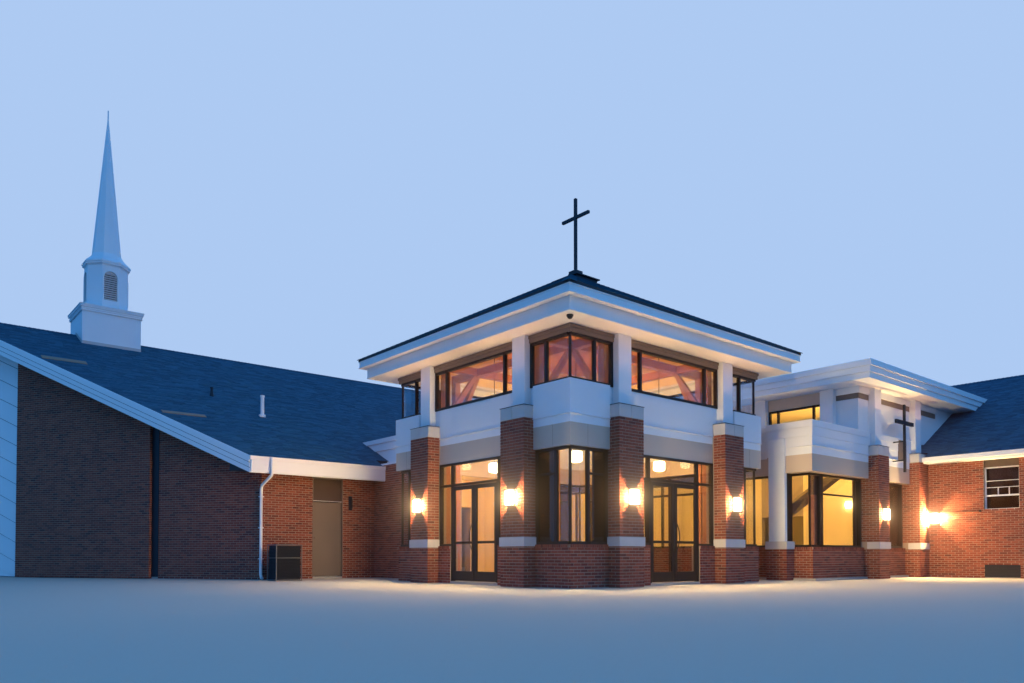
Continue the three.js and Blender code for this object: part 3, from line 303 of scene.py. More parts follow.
def startPiece(name):
    clearSelection()
    bpy.ops.object.add(type="MESH")
    piece = bpy.context.object
    piece.name = name
    piece.data.name = name
    bpy.ops.object.mode_set(mode="EDIT")
    return piece


def makeBars(name, boxes, look, bevel=4, body="building", stands=()):
    piece = startPiece(name)
    for ranges in boxes:
        middle = [(a + b) / 2 * mm for a, b in ranges]
        size = [abs(b - a) * mm for a, b in ranges]
        bpy.ops.mesh.primitive_cube_add(size=1, location=middle, scale=size)
    return finishPiece(piece, bevel, look, body, stands)


# Upright prisms, each from its plan and its two heights
def makePrisms(name, prisms, look, bevel):
    corners, faces = [], []
    for outline, (low, high) in prisms:
        area = sum(a[0] * b[1] - b[0] * a[1] for a, b in zip(outline, outline[1:] + outline[:1]))
        outline = outline if area > 0 else outline[::-1]
        first, count = len(corners), len(outline)
        corners += [(x, y, z) for z in (low, high) for x, y in outline]
        faces.append([first + i for i in reversed(range(count))])
        faces.append([first + count + i for i in range(count)])
        for i in range(count):
            j = (i + 1) % count
            faces.append([first + i, first + j, first + count + j, first + count + i])
    bevelEdges(makeSheet(name, corners, faces, look), bevel)


# An angle round a corner of the lobby, from fromX and fromY to the corner, between two distances out
def cornerPlan(sx, sy, start, inner, outer):
    x, y = lobbyHalf
    x0, y0 = start
    return [
        (sx * x0, sy * (y + outer)), (sx * (x + outer), sy * (y + outer)), (sx * (x + outer), sy * y0),
        (sx * (x + inner), sy * y0), (sx * (x + inner), sy * (y + inner)), (sx * x0, sy * (y + inner)),
    ]


def makeSheet(name, corners, faces, look, tones=None):
    mesh = bpy.data.meshes.new(name)
    mesh.from_pydata([[value * mm for value in corner] for corner in corners], [], faces)
    if tones:
        layer = mesh.attributes.new("tone", "FLOAT", "FACE")
        layer.data.foreach_set("value", tones)
    mesh.update()
    piece = bpy.data.objects.new(name, mesh)
    bpy.context.scene.collection.objects.link(piece)
    return dress(piece, look)


def makeTube(name, points, radius, look, body="building", sides=3):
    curve = bpy.data.curves.new(name, "CURVE")
    curve.dimensions = "3D"
    curve.bevel_depth = radius * mm
    curve.bevel_resolution = sides
    curve.use_fill_caps = True
    spline = curve.splines.new("POLY")
    spline.points.add(len(points) - 1)
    for point, place in zip(spline.points, points):
        point.co = (*[value * mm for value in place], 1)
    piece = bpy.data.objects.new(name, curve)
    bpy.context.scene.collection.objects.link(piece)
    selectOnly(piece)
    bpy.ops.object.convert(target="MESH")
    return dress(bpy.context.object, look, body)


# Rounds the corners of a frame node without touching its own mesh
def softenNode(name, width, look):
    node = nodes[name]
    node.modifiers.new("Weld", "WELD").merge_threshold = 0.0001
    addBevel(node, width, 2)
    paintNode(name, look)


def paintNode(name, look):
    node = nodes[name]
    node.data.materials.clear()
    node.data.materials.append(looks[look])


# Bricks

edgeTop = plan["sill"] + 2
brick = {"course": 67.7, "pitch": 213, "joint": 13, "endJoint": 18, "proud": 8, "smallest": 40,
         "shortest": 12, "thinnest": 15, "toneCurve": 0.6, "edgeOut": 24, "edgeBack": 56, "edgeHigh": 72}


# A stretch of wall seen from outside: it starts at its left end and its outward side is on the right of along
def wallRun(at, along, length, low, high, holes=(), top=None):
    return {"at": at, "along": along, "length": length, "low": low, "high": high, "holes": holes, "top": top}


def pierRuns(side, s, out, low, high):
    ax, ay = sideAlong[side]
    width = s[1] - s[0]
    depth = out[1] - out[0]
    return [
        wallRun(placeOnSide(side, s[0], out[0]), (ay, -ax), depth, low, high),
        wallRun(placeOnSide(side, s[0], out[1]), (ax, ay), width, low, high),
        wallRun(placeOnSide(side, s[1], out[1]), (-ay, ax), depth, low, high),
    ]


def cutByHoles(a, b, z0, z1, holes):
    pieces = [(a, b)]
    middle = (z0 + z1) / 2
    for left, right, low, high in holes:
        if not low < middle < high:
            continue
        rest = []
        for p, q in pieces:
            if q <= left or p >= right:
                rest.append((p, q))
                continue
            if p < left:
                rest.append((p, left))
            if q > right:
                rest.append((right, q))
        pieces = rest
    return [(p, q) for p, q in pieces if q - p > brick["shortest"]]


def courseBricks(length, level, rng):
    end = length + brick["proud"]
    place = -(level % 2) * brick["pitch"] / 2
    while place < end:
        a = 0 if place < brick["smallest"] else place
        b = place + brick["pitch"] - brick["endJoint"]
        if end - b < brick["smallest"]:
            b = end
        if b > brick["smallest"]:
            yield a, b, rng.random()
        if b == end:
            return
        place += brick["pitch"]


# Adds one brick to a shape of corners, faces and tones
def addBrick(shape, run, outline, tone, proud, back=-1):
    (x, y), (ax, ay) = run["at"], run["along"]
    corners, faces, tones = shape
    first = len(corners)
    for out in (proud, back):
        corners += [(x + ax * s + ay * out, y + ay * s - ax * out, z) for s, z in outline]
    ring = [(0, 1, 2, 3), (4, 5, 1, 0), (3, 2, 6, 7), (4, 0, 3, 7), (1, 5, 6, 2)]
    faces += [[first + i for i in face] for face in ring]
    tones += [tone] * len(ring)


def makeBrickSheet(name, shape):
    corners, faces, tones = shape
    makeSheet(name, corners, faces, "faceBrick", tones)


# Bricks on edge over a plinth, on a bed of mortar
def layEdgeBricks(name, runs):
    rng = random.Random(name)
    shape = ([], [], [])
    beds = []
    for run in runs:
        high = run["high"]
        low = high - brick["edgeHigh"]
        count = max(1, round(run["length"] / brick["course"]))
        pitch = run["length"] / count
        for i in range(count):
            a = i * pitch + brick["joint"] / 2
            b = a + pitch - brick["joint"]
            tone = rng.random() ** brick["toneCurve"]
            outline = [(a, low), (b, low), (b, high), (a, high)]
            addBrick(shape, run, outline, tone, brick["edgeOut"], -brick["edgeBack"])
        (x, y), (ax, ay) = run["at"], run["along"]
        ends = [(x + ax * s + ay * out, y + ay * s - ax * out)
                for s, out in ((0, -brick["edgeBack"]), (run["length"], brick["edgeOut"] - 8))]
        beds.append(tuple(sorted(pair) for pair in zip(*ends)) + ((low, high - 6),))
    makeBrickSheet(name, shape)
    makeBars(f"{name}_bed", beds, "mortar", bevel=0)


def layBricks(name, runs):
    rng = random.Random(name)
    shape = ([], [], [])
    for run in runs:
        levels = math.ceil((run["high"] - run["low"]) / brick["course"])
        for level in range(levels):
            z0 = run["low"] + level * brick["course"] + brick["joint"]
            z1 = min(z0 + brick["course"] - brick["joint"], run["high"])
            if z1 - z0 < brick["thinnest"]:
                continue
            for a, b, tone in courseBricks(run["length"], level, rng):
                for p, q in cutByHoles(a, b, z0, z1, run["holes"]):
                    topP = min(z1, run["top"](p)) if run["top"] else z1
                    topQ = min(z1, run["top"](q)) if run["top"] else z1
                    if max(topP, topQ) < z0 + 6:
                        continue
                    outline = [(p, z0), (q, z0), (q, max(topQ, z0 + 1)), (p, max(topP, z0 + 1))]
                    addBrick(shape, run, outline, tone ** brick["toneCurve"], brick["proud"])
    makeBrickSheet(name, shape)


def lobbyPierSpans(side):
    half, _, corner = lobbySides[side]
    high = half - corner
    low = high - plan["pier"]
    return [(-high, -low), (low, high)]


def makeLobbyBricks():
    runs, edges = [], []
    high = plan["sill"] - brick["edgeHigh"]
    for side, (half, out, corner) in lobbySides.items():
        along = sideAlong[side]
        for span in lobbyPierSpans(side):
            for low, top in ((0, plan["bandLow"]), (plan["bandHigh"], plan["capLow"])):
                runs += pierRuns(side, span, (out, out + plan["pierOut"]), low, top)
        # the front and back edge courses run past the corners, and the others stop at them
        past = brick["edgeOut"] if side in ("front", "back") else 0
        for start, before in ((-half, past), (half - corner, 0)):
            runs.append(wallRun(placeOnSide(side, start, out), along, corner, 0, high))
            edges.append(wallRun(placeOnSide(side, start - before, out), along, corner + past, 0, edgeTop))
        if side in ("front", "left"):
            jamb = plan["doorHalf"] + plan["doorGap"] + 55
            for start in (-(half - corner - plan["pier"]), jamb):
                width = half - corner - plan["pier"] - jamb
                runs.append(wallRun(placeOnSide(side, start, out), along, width, 0, high))
                edges.append(wallRun(placeOnSide(side, start, out), along, width, 0, edgeTop))
    layBricks("lobby_bricks", runs)
    layEdgeBricks("lobby_edge_bricks", edges)
    for side in lobbySides:
        paintNode(f"lobby_brickwork_{side}", "mortar")


hall = {
    "left": 5440, "front": -3940, "right": 12080, "back": 6780,
    "column": (5030, -3370, -2740), "columnTop": 890, "pierFront": -4420, "pierBack": -3820,
    "pierB": (8480, 9180), "pierC": (11380, 12080), "beltFace": -4120, "bandBack": -4060, "pierReturn": 360,
}


def makeHallBricks():
    high = plan["sill"] - brick["edgeHigh"]
    plinths = [
        ((hall["left"], hall["back"]), (0, -1), hall["back"] - hall["front"]),
        ((hall["left"], hall["front"]), (1, 0), hall["pierB"][0] - hall["left"]),
        ((hall["pierB"][1], hall["front"]), (1, 0), hall["pierC"][0] - hall["pierB"][1]),
    ]
    runs = [wallRun(*plinth, 0, high) for plinth in plinths]
    layEdgeBricks("hall_edge_bricks", [wallRun(*plinth, 0, edgeTop) for plinth in plinths])
    x, y0, y1 = hall["column"]
    runs += [
        wallRun((hall["left"], y1), (-1, 0), hall["left"] - x, 0, hall["columnTop"]),
        wallRun((x, y1), (0, -1), y1 - y0, 0, hall["columnTop"]),
        wallRun((x, y0), (1, 0), hall["left"] - x, 0, hall["columnTop"]),
    ]
    front, back, face = hall["pierFront"], hall["pierBack"], hall["beltFace"]
    for x0, x1 in (hall["pierB"], hall["pierC"]):
        for low, top in ((0, plan["bandLow"]), (plan["bandHigh"], plan["capLow"])):
            underLintel = min(top, plan["lintelLow"])
            runs.append(wallRun((x0, back), (0, -1), back - front, low, underLintel))
            if top > plan["lintelLow"]:
                runs.append(wallRun((x0, face), (0, -1), face - front, plan["lintelLow"], top))
            runs.append(wallRun((x0, front), (1, 0), x1 - x0, low, top))
            runs.append(wallRun((x1, front), (0, 1), hall["pierReturn"], low, underLintel))
    layBricks("hall_bricks", runs)
    paintNode("hall_brickwork", "mortar")


sanctuary = {
    "left": -6120, "right": 11380, "front": 6780, "ridgeY": 16680, "slope": 0.5, "eaveY": 6180,
    "eaveTop": 3510, "roofDepth": 300, "prowAngle": math.radians(31), "stripFrom": 3720, "stripTo": 3980,
    "sidingFrom": 9480, "proud": 110, "rake": 800, "door": (-4510, -3510, 3110), "soffit": 3110,
    "link": 2380, "linkFront": 3720, "linkTop": 3560, "rightOver": 600, "tall": 9000,
    "rightLength": 3000, "rightTop": 3500,
}
sanctuaryBack = 2 * sanctuary["ridgeY"] - sanctuary["front"]
prowSin = math.sin(sanctuary["prowAngle"])
prowCos = math.cos(sanctuary["prowAngle"])


def sanctuaryTop(y):
    run = sanctuary["ridgeY"] - sanctuary["eaveY"] - abs(y - sanctuary["ridgeY"])
    return sanctuary["eaveTop"] + sanctuary["slope"] * run


def underRoof(y):
    return sanctuaryTop(y) - sanctuary["roofDepth"] - 4


def prowPoint(along, out):
    return (
        sanctuary["left"] - along * prowSin - out * prowCos,
        sanctuary["front"] + along * prowCos - out * prowSin,
    )


def makeSanctuaryBricks():
    s = sanctuary
    doorHole = (s["door"][0] - s["left"], s["door"][1] - s["left"], 0, s["door"][2])
    link, linkLong = s["link"], s["front"] - s["linkFront"]
    layBricks("sanctuary_front_bricks", [
        wallRun((s["left"], s["front"]), (1, 0), -link - s["left"], 0, s["soffit"], [doorHole]),
        wallRun((link, s["front"]), (1, 0), s["rightLength"], 0, s["rightTop"]),
        wallRun((-link, s["front"]), (0, -1), linkLong, 0, s["linkTop"]),
        wallRun((link, s["linkFront"]), (0, 1), linkLong, 0, s["linkTop"]),
    ])
    # along the prow, from the tip's end towards the eave's corner, and cut to the roof's slope
    direction = (prowSin, -prowCos)
    length = s["sidingFrom"]
    runs = []
    for far, near, out in ((length, s["stripTo"], s["proud"]), (s["stripFrom"], 0, 0)):
        start = prowPoint(far, out)
        top = lambda d, start=start: underRoof(start[1] - d * prowCos)
        runs.append(wallRun(start, direction, far - near, 0, s["tall"], top=top))
    turn = prowPoint(s["stripTo"], s["proud"])
    runs.append(wallRun(turn, (prowCos, prowSin), s["proud"] + 30, 0, s["tall"],
                        top=lambda d: underRoof(turn[1])))
    layBricks("prow_bricks", runs)

    def rearTop(d):
        return underRoof(sanctuaryBack - d * prowCos)

    rearRuns = [
        wallRun((s["right"], sanctuaryBack), (-1, 0), s["right"] - s["left"], 0, underRoof(sanctuaryBack)),
        wallRun((s["left"], sanctuaryBack), (-prowSin, -prowCos), length, 0, s["tall"], top=rearTop),
        wallRun((s["right"], s["front"]), (0, 1), sanctuaryBack - s["front"], 0, s["tall"],
                top=lambda d: underRoof(s["front"] + d)),
    ]
    layBricks("sanctuary_rear_bricks", rearRuns)
    for name in ("sanctuary_wall_front_left", "sanctuary_wall_over_door", "sanctuary_wall_front_right",
                 "prow_wall_front", "sanctuary_walls_rear", "link_wall_left", "link_wall_right"):
        paintNode(name, "mortar")


wing = {
    "left": 12080, "right": 24080, "front": -16440, "back": 6780, "eave": 450, "eaveTop": 3900, "slope": 0.55,
    "windowLow": 2150, "windowHigh": 3494, "headTop": 3740, "windowWidth": 985, "firstWindow": -6575,
    "bay": 2800, "bays": 4, "ventLow": 30, "ventHigh": 420, "roofDepth": 160, "hallSide": -4465,
    "brickBack": -4060, "tall": 8000, "cornerGap": 10, "cornerTop": 3550,
}
wingRidgeX = (wing["left"] + wing["right"]) / 2
windowCentres = [wing["firstWindow"] - i * wing["bay"] for i in range(wing["bays"])]


def wingUnder(x):
    run = wingRidgeX - (wing["left"] - wing["eave"]) - abs(x - wingRidgeX)
    return wing["eaveTop"] + wing["slope"] * run - wing["roofDepth"] - 4


def makeWingBricks():
    half = wing["windowWidth"] / 2
    high = wing["eaveTop"] + 60
    zones = ((wing["windowLow"], wing["headTop"]), (wing["ventLow"], wing["ventHigh"]))
    start, left, right, front, back = [wing[key] for key in ("brickBack", "left", "right", "front", "back")]
    leftHoles = [(start - c - half, start - c + half, *zone) for c in windowCentres for zone in zones]
    rightHoles = [(c - half - front, c + half - front, *zone) for c in windowCentres for zone in zones]
    layBricks("wing_left_bricks", [wallRun((left, start), (0, -1), start - front, 0, high, leftHoles)])
    width, corner = right - left, left - sanctuary["right"] - wing["cornerGap"]
    # the last run closes the corner between the hall and the sanctuary
    layBricks("wing_outer_bricks", [
        wallRun((left, front), (1, 0), width, 0, wing["tall"], top=lambda d: wingUnder(left + d)),
        wallRun((right, front), (0, 1), back - front, 0, high, rightHoles),
        wallRun((right, back), (-1, 0), width, 0, wing["tall"], top=lambda d: wingUnder(right - d)),
        wallRun((left, back), (-1, 0), corner, 0, wing["cornerTop"]),
    ])
    for name in ("wing_wall_left", "wing_walls_outer"):
        paintNode(name, "mortar")


makeLobbyBricks()
makeHallBricks()
makeSanctuaryBricks()
makeWingBricks()
print("bricks laid")


# Stone bands and caps

stone = {"grow": 30, "capOut": 12, "joint": 8, "flashing": 9, "flashingOut": 24, "columnCap": 1112}


def makeStones():
    boxes, flashings = [], []
    g, c, f = stone["grow"], stone["capOut"], stone["flashingOut"]
    band = (plan["bandLow"], plan["bandHigh"])
    cap = (plan["capLow"] + stone["joint"], plan["capTop"])
    sheet = (cap[1] - 2, cap[1] + stone["flashing"])
    split = stone["joint"] / 2
    for side, (_, out, _) in lobbySides.items():
        for a, b in lobbyPierSpans(side):
            reach = out + plan["pierOut"]
            middle = (a + b) / 2
            boxes.append(boxOnSide(side, (a - g, b + g), (out - 20, reach + g), band))
            for ends in ((a - c, middle - split), (middle + split, b + c)):
                boxes.append(boxOnSide(side, ends, (out - 20, reach + c), cap))
            flashings.append(boxOnSide(side, (a - f, b + f), (out - 20, reach + f), sheet))
    for x0, x1 in (hall["pierB"], hall["pierC"]):
        right = min(x1 + g, hall["right"] + c)
        front = hall["pierFront"]
        boxes.append(((x0 - g, right), (front - g, hall["bandBack"]), band))
        right = min(x1 + c, hall["right"] + c)
        middle = (x0 + x1) / 2
        for ends in ((x0 - c, middle - split), (middle + split, right)):
            boxes.append((ends, (front - c, hall["beltFace"] - 5), cap))
        flashings.append(((x0 - f, right), (front - f, hall["beltFace"] - 5), sheet))
    x, y0, y1 = hall["column"]
    boxes.append(((x - g, hall["left"]), (y0 - g, y1 + g), (hall["columnTop"], stone["columnCap"])))
    makeBars("pier_stones", boxes, "castStone", bevel=7)
    makeBars("pier_flashings", flashings, "blackSteel", bevel=2)


makeStones()
print("stones set")


# Lobby glazing and trim

glazing = {"bar": 62, "deep": 95, "backSet": 105, "post": (46, 96), "sideBar": 2468, "cornerBar": (2468, 2518),
           "cornerPane": {"front": 580, "left": 480, "back": 530, "right": 530}, "clearStrip": 150,
           "upperCornerPane": 825, "upperShare": 0.72}


def makeLobbyGlazing():
    bar = glazing["bar"]
    upper, lower, tinted = [], [], []
    sill, head = plan["sill"], plan["lintelLow"]
    for side, (half, out, corner) in lobbySides.items():
        depth = (out - glazing["backSet"], out - glazing["backSet"] + glazing["deep"])
        pane = (out - plan["glassInset"] + 1, out - plan["glassInset"] + 9)
        column = half - corner - plan["pier"] / 2
        inner = column - plan["upperColumn"] / 2
        outer = column + plan["upperColumn"] / 2
        low, high = plan["beltHigh"], plan["windowHead"]
        # the side rails stop at the corner posts of the front and the back
        end = glazing["post"][0 if side in ("front", "back") else 1]
        cornerPane = glazing["cornerPane"][side]
        spans = [(-inner, inner), (-half + end, -outer), (outer, half - end)]
        for a, b in spans:
            upper.append(boxOnSide(side, (a, b), depth, (low, low + bar)))
            upper.append(boxOnSide(side, (a, b), depth, (high - bar, high)))
        share, far = glazing["upperShare"] * inner, half - glazing["upperCornerPane"]
        for s in (-inner, inner - bar, -outer - bar, outer, -share, share - bar, -far - bar, far):
            upper.append(boxOnSide(side, (s, s + bar), depth, (low, high)))
        for sign in (-1, 1):

            def bay(a, b, deep, heights):
                return boxOnSide(side, sorted((sign * a, sign * b)), deep, heights)

            start, split = half - corner, half - cornerPane
            if side in ("front", "back"):
                post = [half - inset for inset in glazing["post"]]
                postDeep = [out - inset for inset in reversed(glazing["post"])]
                upper.append(bay(*post, postDeep, (low, high)))
                lower.append(bay(*post, postDeep, (sill, head)))
            for heights in ((sill, sill + bar), (head - bar, head)):
                lower.append(bay(start, half - end, depth, heights))
            for s in (start, split - bar / 2):
                lower.append(bay(s, s + bar, depth, (sill, head)))
            lower.append(bay(start, split, depth, glazing["cornerBar"]))
            strip = glazing["clearStrip"] if side == "front" else 0
            tinted.append(bay(start, split - strip, pane, (sill, head)))
    makeBars("lobby_upper_sashes", upper, "darkBronze", bevel=4)
    makeBars("lobby_corner_sashes", lower, "darkBronze", bevel=4)
    makeBars("lobby_tinted_panes", tinted, "bronzeGlass", bevel=0)
    for name in ("upper_glass", "side_glass", *(f"corner_glass_{side}" for side in lobbySides)):
        paintNode(f"lobby_{name}", "clearGlass")
    # the unseen right side is one storefront with the same bars
    half, out, corner = lobbySides["right"]
    inner = half - corner - plan["pier"]
    depth = (out - glazing["backSet"], out - 20)
    floor = plan["floor"]
    rails = [(floor, floor + bar), (glazing["sideBar"], glazing["sideBar"] + bar), (head - bar, head)]
    boxes = [boxOnSide("right", (-inner, inner), depth, z) for z in rails]
    for s in (-inner, -inner / 3, inner / 3 - bar, inner - bar):
        boxes.append(boxOnSide("right", (s, s + bar), depth, (floor, head)))
    makeBars("lobby_side_sashes", boxes, "darkBronze", bevel=4)


trim = {
    "rows": ((2, (3556, 3726)), (32, (3728, 3742)), (12, (3744, 4482))), "proud": 60, "headerSplit": 5590,
    "header": 14, "headerStep": 34, "joint": (475, 480), "jointZ": (3066, 3546),
    "lips": ((790, 829, (5952, 5974)), (790, 826, (6118, 6146)), (640, 657, (5668, 5700))),
}


def makeLobbyTrim():
    t = trim
    headers, belts, joints, gutters = [], [], [], []
    headerHeights = ((t["header"], (plan["windowHead"] - 6, t["headerSplit"])),
                     (t["headerStep"], (t["headerSplit"], plan["soffit"] - 12)))
    for sx, sy in cornerSigns:
        bays = [half - lobbySides[side][2] + 4 for half, side in zip(lobbyHalf, ("front", "left"))]
        columns = [bay - plan["pier"] / 2 + plan["upperColumn"] / 2 - 8 for bay in bays]
        headers += [(cornerPlan(sx, sy, columns, -20, out), heights) for out, heights in headerHeights]
        belts += [(cornerPlan(sx, sy, bays, 0, t["proud"] + out), heights) for out, heights in t["rows"]]
        gutters += [(cornerPlan(sx, sy, (0, 0), inner, outer), z) for inner, outer, z in t["lips"]]
    bars, panels = [], []
    for side, (half, out, corner) in lobbySides.items():
        inner = half - corner - plan["pier"] / 2 - plan["upperColumn"] / 2
        bars += [boxOnSide(side, (-inner, inner), (out - 20, out + reach), z) for reach, z in headerHeights]
        bay = half - corner - plan["pier"]
        panels += [boxOnSide(side, (-bay, bay), (out - 50, out - 40 + reach), z) for reach, z in t["rows"]]
        for sign in (-1, 1):
            joint = sorted(sign * (half - inset) for inset in t["joint"])
            joints.append(boxOnSide(side, joint, (out, out + t["proud"] + 2), t["jointZ"]))
    makePrisms("lobby_corner_headers", headers, "brownSteel", bevel=5)
    makeBars("lobby_bay_headers", bars, "brownSteel", bevel=5)
    makePrisms("lobby_corner_belts", belts, "whiteStucco", bevel=6)
    makeBars("lobby_bay_belts", panels, "whiteStucco", bevel=6)
    makeBars("lobby_lintel_joints", joints, "brownSteel", bevel=0)
    makePrisms("lobby_gutter_lips", gutters, "whitePaint", bevel=4)
    for name, width, look in (("belt", 5, "whiteStucco"), ("lintel", 4, "taupePanel"),
                              ("upper_frame", 6, "whitePaint"), ("eave", 5, "whitePaint")):
        softenNode(f"lobby_{name}", width, look)


makeLobbyGlazing()
makeLobbyTrim()
print("lobby glazed")


# Doors

door = {
    "frame": 55, "inset": 30, "deep": 110, "stile": 95, "bottomRail": 240, "midRail": (1000, 1060),
    "leafDeep": 45, "glass": (60, 86), "pane": (45, 57), "pin": (5, 25), "pullRadius": 13, "pullOut": 75,
    "pullLow": 820, "pullHigh": 1500, "pullAt": 48, "pullBow": 35, "pullSteps": 14,
}


# A bay's own frame is x along the wall, y inwards from the wall's face
def turnedBay(side, x, y, z):
    out = lobbySides[side][1]
    return boxOnSide(side, x, (out - y[1], out - y[0]), z)


def makeEntrance(side, name):
    half, _, corner = lobbySides[side]
    bay = half - corner - plan["pier"]
    jamb = plan["doorHalf"] + plan["doorGap"]
    f = door["frame"]
    y = (door["inset"], door["inset"] + door["deep"])
    head = plan["leafTop"] + plan["doorGap"]
    low, high = plan["sill"], plan["lintelLow"]
    boxes = [((-bay, bay), y, (high - f, high)), ((-bay, bay), y, (head, head + f))]
    glass = [((-jamb, jamb), door["glass"], (head + f, high - f))]
    for sign in (-1, 1):
        boxes.append((sorted((sign * jamb, sign * (jamb + f))), y, (plan["floor"], high)))
        boxes.append((sorted((sign * (bay - f), sign * bay)), y, (low, high)))
        boxes.append((sorted((sign * jamb, sign * bay)), y, (low, low + f)))
        glass.append((sorted((sign * (jamb + f), sign * (bay - f))), door["glass"], (low + f, high - f)))
    makeBars(f"{name}_frame", [turnedBay(side, *box) for box in boxes], "darkBronze", bevel=4,
             stands=[f"{name}_door_frame"])
    makeBars(f"{name}_frame_glass", [turnedBay(side, *box) for box in glass], "clearGlass", bevel=0)
    for sign, hand in ((-1, "left"), (1, "right")):
        makeLeaf(side, name, sign, hand)


def makeLeaf(side, name, sign, hand):
    out = lobbySides[side][1]
    inner = plan["doorGap"] / 2
    outer = plan["doorHalf"]
    low, top = plan["floor"] + plan["doorGap"], plan["leafTop"]
    y = (door["inset"], door["inset"] + door["leafDeep"])
    stile = door["stile"]
    body = f"{name}_{hand}_leaf"

    def span(a, b):
        return sorted((sign * a, sign * b))

    rail = span(inner + stile, outer - stile)
    near, far = door["pin"]
    pin = (span(outer - far, outer - near), (y[0] + near, y[0] + far))
    boxes = [
        (span(inner, inner + stile), y, (low, top)),
        (span(outer - stile, outer), y, (low, top)),
        (rail, y, (top - stile, top)),
        (rail, y, (low, low + door["bottomRail"])),
        (rail, (y[0] + 6, y[1] - 6), door["midRail"]),
        (*pin, (plan["floor"] + 1, low + near)),
        (*pin, (top - near, top + plan["doorGap"] - 1)),
    ]
    makeBars(f"{name}_leaf_{hand}", [turnedBay(side, *box) for box in boxes], "darkBronze", bevel=4,
             body=body, stands=[f"{name}_door_{hand}"])
    paneHeights = (low + door["bottomRail"] - 5, top - stile + 5)
    pane = (span(inner + stile - 5, outer - stile + 5), door["pane"], paneHeights)
    makeBars(f"{name}_pane_{hand}", [turnedBay(side, *pane)], "clearGlass", bevel=0, body=body)
    # a pull that bows out from the meeting stile
    points = []
    for i in range(door["pullSteps"] + 1):
        t = i / door["pullSteps"]
        z = door["pullLow"] + (door["pullHigh"] - door["pullLow"]) * t
        bow = math.sin(math.pi * t)
        s = sign * (inner + door["pullAt"] + door["pullBow"] * bow)
        points.append((*placeOnSide(side, s, out - door["inset"] + door["pullOut"] * bow ** 0.6), z))
    makeTube(f"{name}_pull_{hand}", points, door["pullRadius"], "blackSteel", body)


makeEntrance("front", "right_entrance")
makeEntrance("left", "left_entrance")
print("doors hung")


# Roofs

shingle = {"exposure": 143, "lap": 22, "thick": (6, 13), "top": 1.5, "under": -1, "tab": (180, 420), "gap": 3,
           "stagger": 150, "sliver": 8, "capHalf": 150, "capLap": 1.25, "capLifts": (22, 11)}


# A slope starts at its eave. Its direction along runs left to right seen from outside, and limits gives
# both its ends at a distance in from the eave.
def roofSlope(at, along, rise, run, limits):
    return {"at": at, "along": along, "rise": rise, "run": run, "limits": limits}


def layShingles(name, slopes):
    rng = random.Random(name)
    corners, faces, tones = [], [], []
    for slope in slopes:
        (x, y, z), (ax, ay) = slope["at"], slope["along"]
        scale = math.hypot(1, slope["rise"])
        flat, steep = 1 / scale, slope["rise"] / scale

        def point(u, v, lift):
            inward = v * flat - lift * steep
            return (x + ax * u - ay * inward, y + ay * u + ax * inward, z + v * steep + lift * flat)

        rows = math.ceil(slope["run"] * scale / shingle["exposure"])
        for row in range(rows):
            v0 = row * shingle["exposure"]
            v1 = min(v0 + shingle["exposure"] + shingle["lap"], slope["run"] * scale)
            lowLeft, lowRight = slope["limits"](v0 * flat)
            highLeft, highRight = slope["limits"](v1 * flat)
            u = min(lowLeft, highLeft) - rng.uniform(0, shingle["stagger"])
            end = max(lowRight, highRight)
            while u < end:
                width = rng.uniform(*shingle["tab"])
                thick = rng.choice(shingle["thick"])
                a0, b0 = [min(max(s, lowLeft), lowRight) for s in (u, u + width)]
                a1, b1 = [min(max(s, highLeft), highRight) for s in (u, u + width)]
                u += width + shingle["gap"]
                if max(b0 - a0, b1 - a1) < shingle["sliver"]:
                    continue
                first = len(corners)
                top, under = shingle["top"], shingle["under"]
                corners += [point(*at) for at in ((a0, v0, thick), (b0, v0, thick), (b1, v1, top),
                                                  (a1, v1, top), (a0, v0, under), (b0, v0, under))]
                ring = [(0, 1, 2, 3), (4, 5, 1, 0), (4, 0, 3), (5, 2, 1)]
                faces += [[first + i for i in face] for face in ring]
                tones += [rng.random()] * len(ring)
    makeSheet(name, corners, faces, "asphaltShingle", tones)


# Folded caps along a ridge or hip, each lapping the last
def layCaps(name, lines):
    rng = random.Random(name)
    corners, faces, tones = [], [], []
    for start, end, fall in lines:
        start, end = Vector(start), Vector(end)
        along = (end - start).normalized()
        sideways = Vector((-along.y, along.x, 0)).normalized()
        count = max(1, int((end - start).length / shingle["exposure"]))
        for i in range(count):
            low = start + (end - start) * (i / count)
            high = start + (end - start) * min(1, (i + shingle["capLap"]) / count)
            first = len(corners)
            half = shingle["capHalf"]
            for point, lift in zip((low, high, low), (*shingle["capLifts"], 0)):
                for s in (-half, 0, half):
                    corners.append(tuple(point + sideways * s + Vector((0, 0, lift - abs(s) * fall))))
            ring = [(1, 0, 3, 4), (2, 1, 4, 5), (0, 1, 7, 6), (1, 2, 8, 7)]
            faces += [[first + i for i in face] for face in ring]
            tones += [rng.random()] * len(ring)
    makeSheet(name, corners, faces, "asphaltShingle", tones)


lobbyRoof = {"halfX": 4395, "halfY": 4220, "edge": 6200, "slope": 0.53, "hipFall": 0.375}


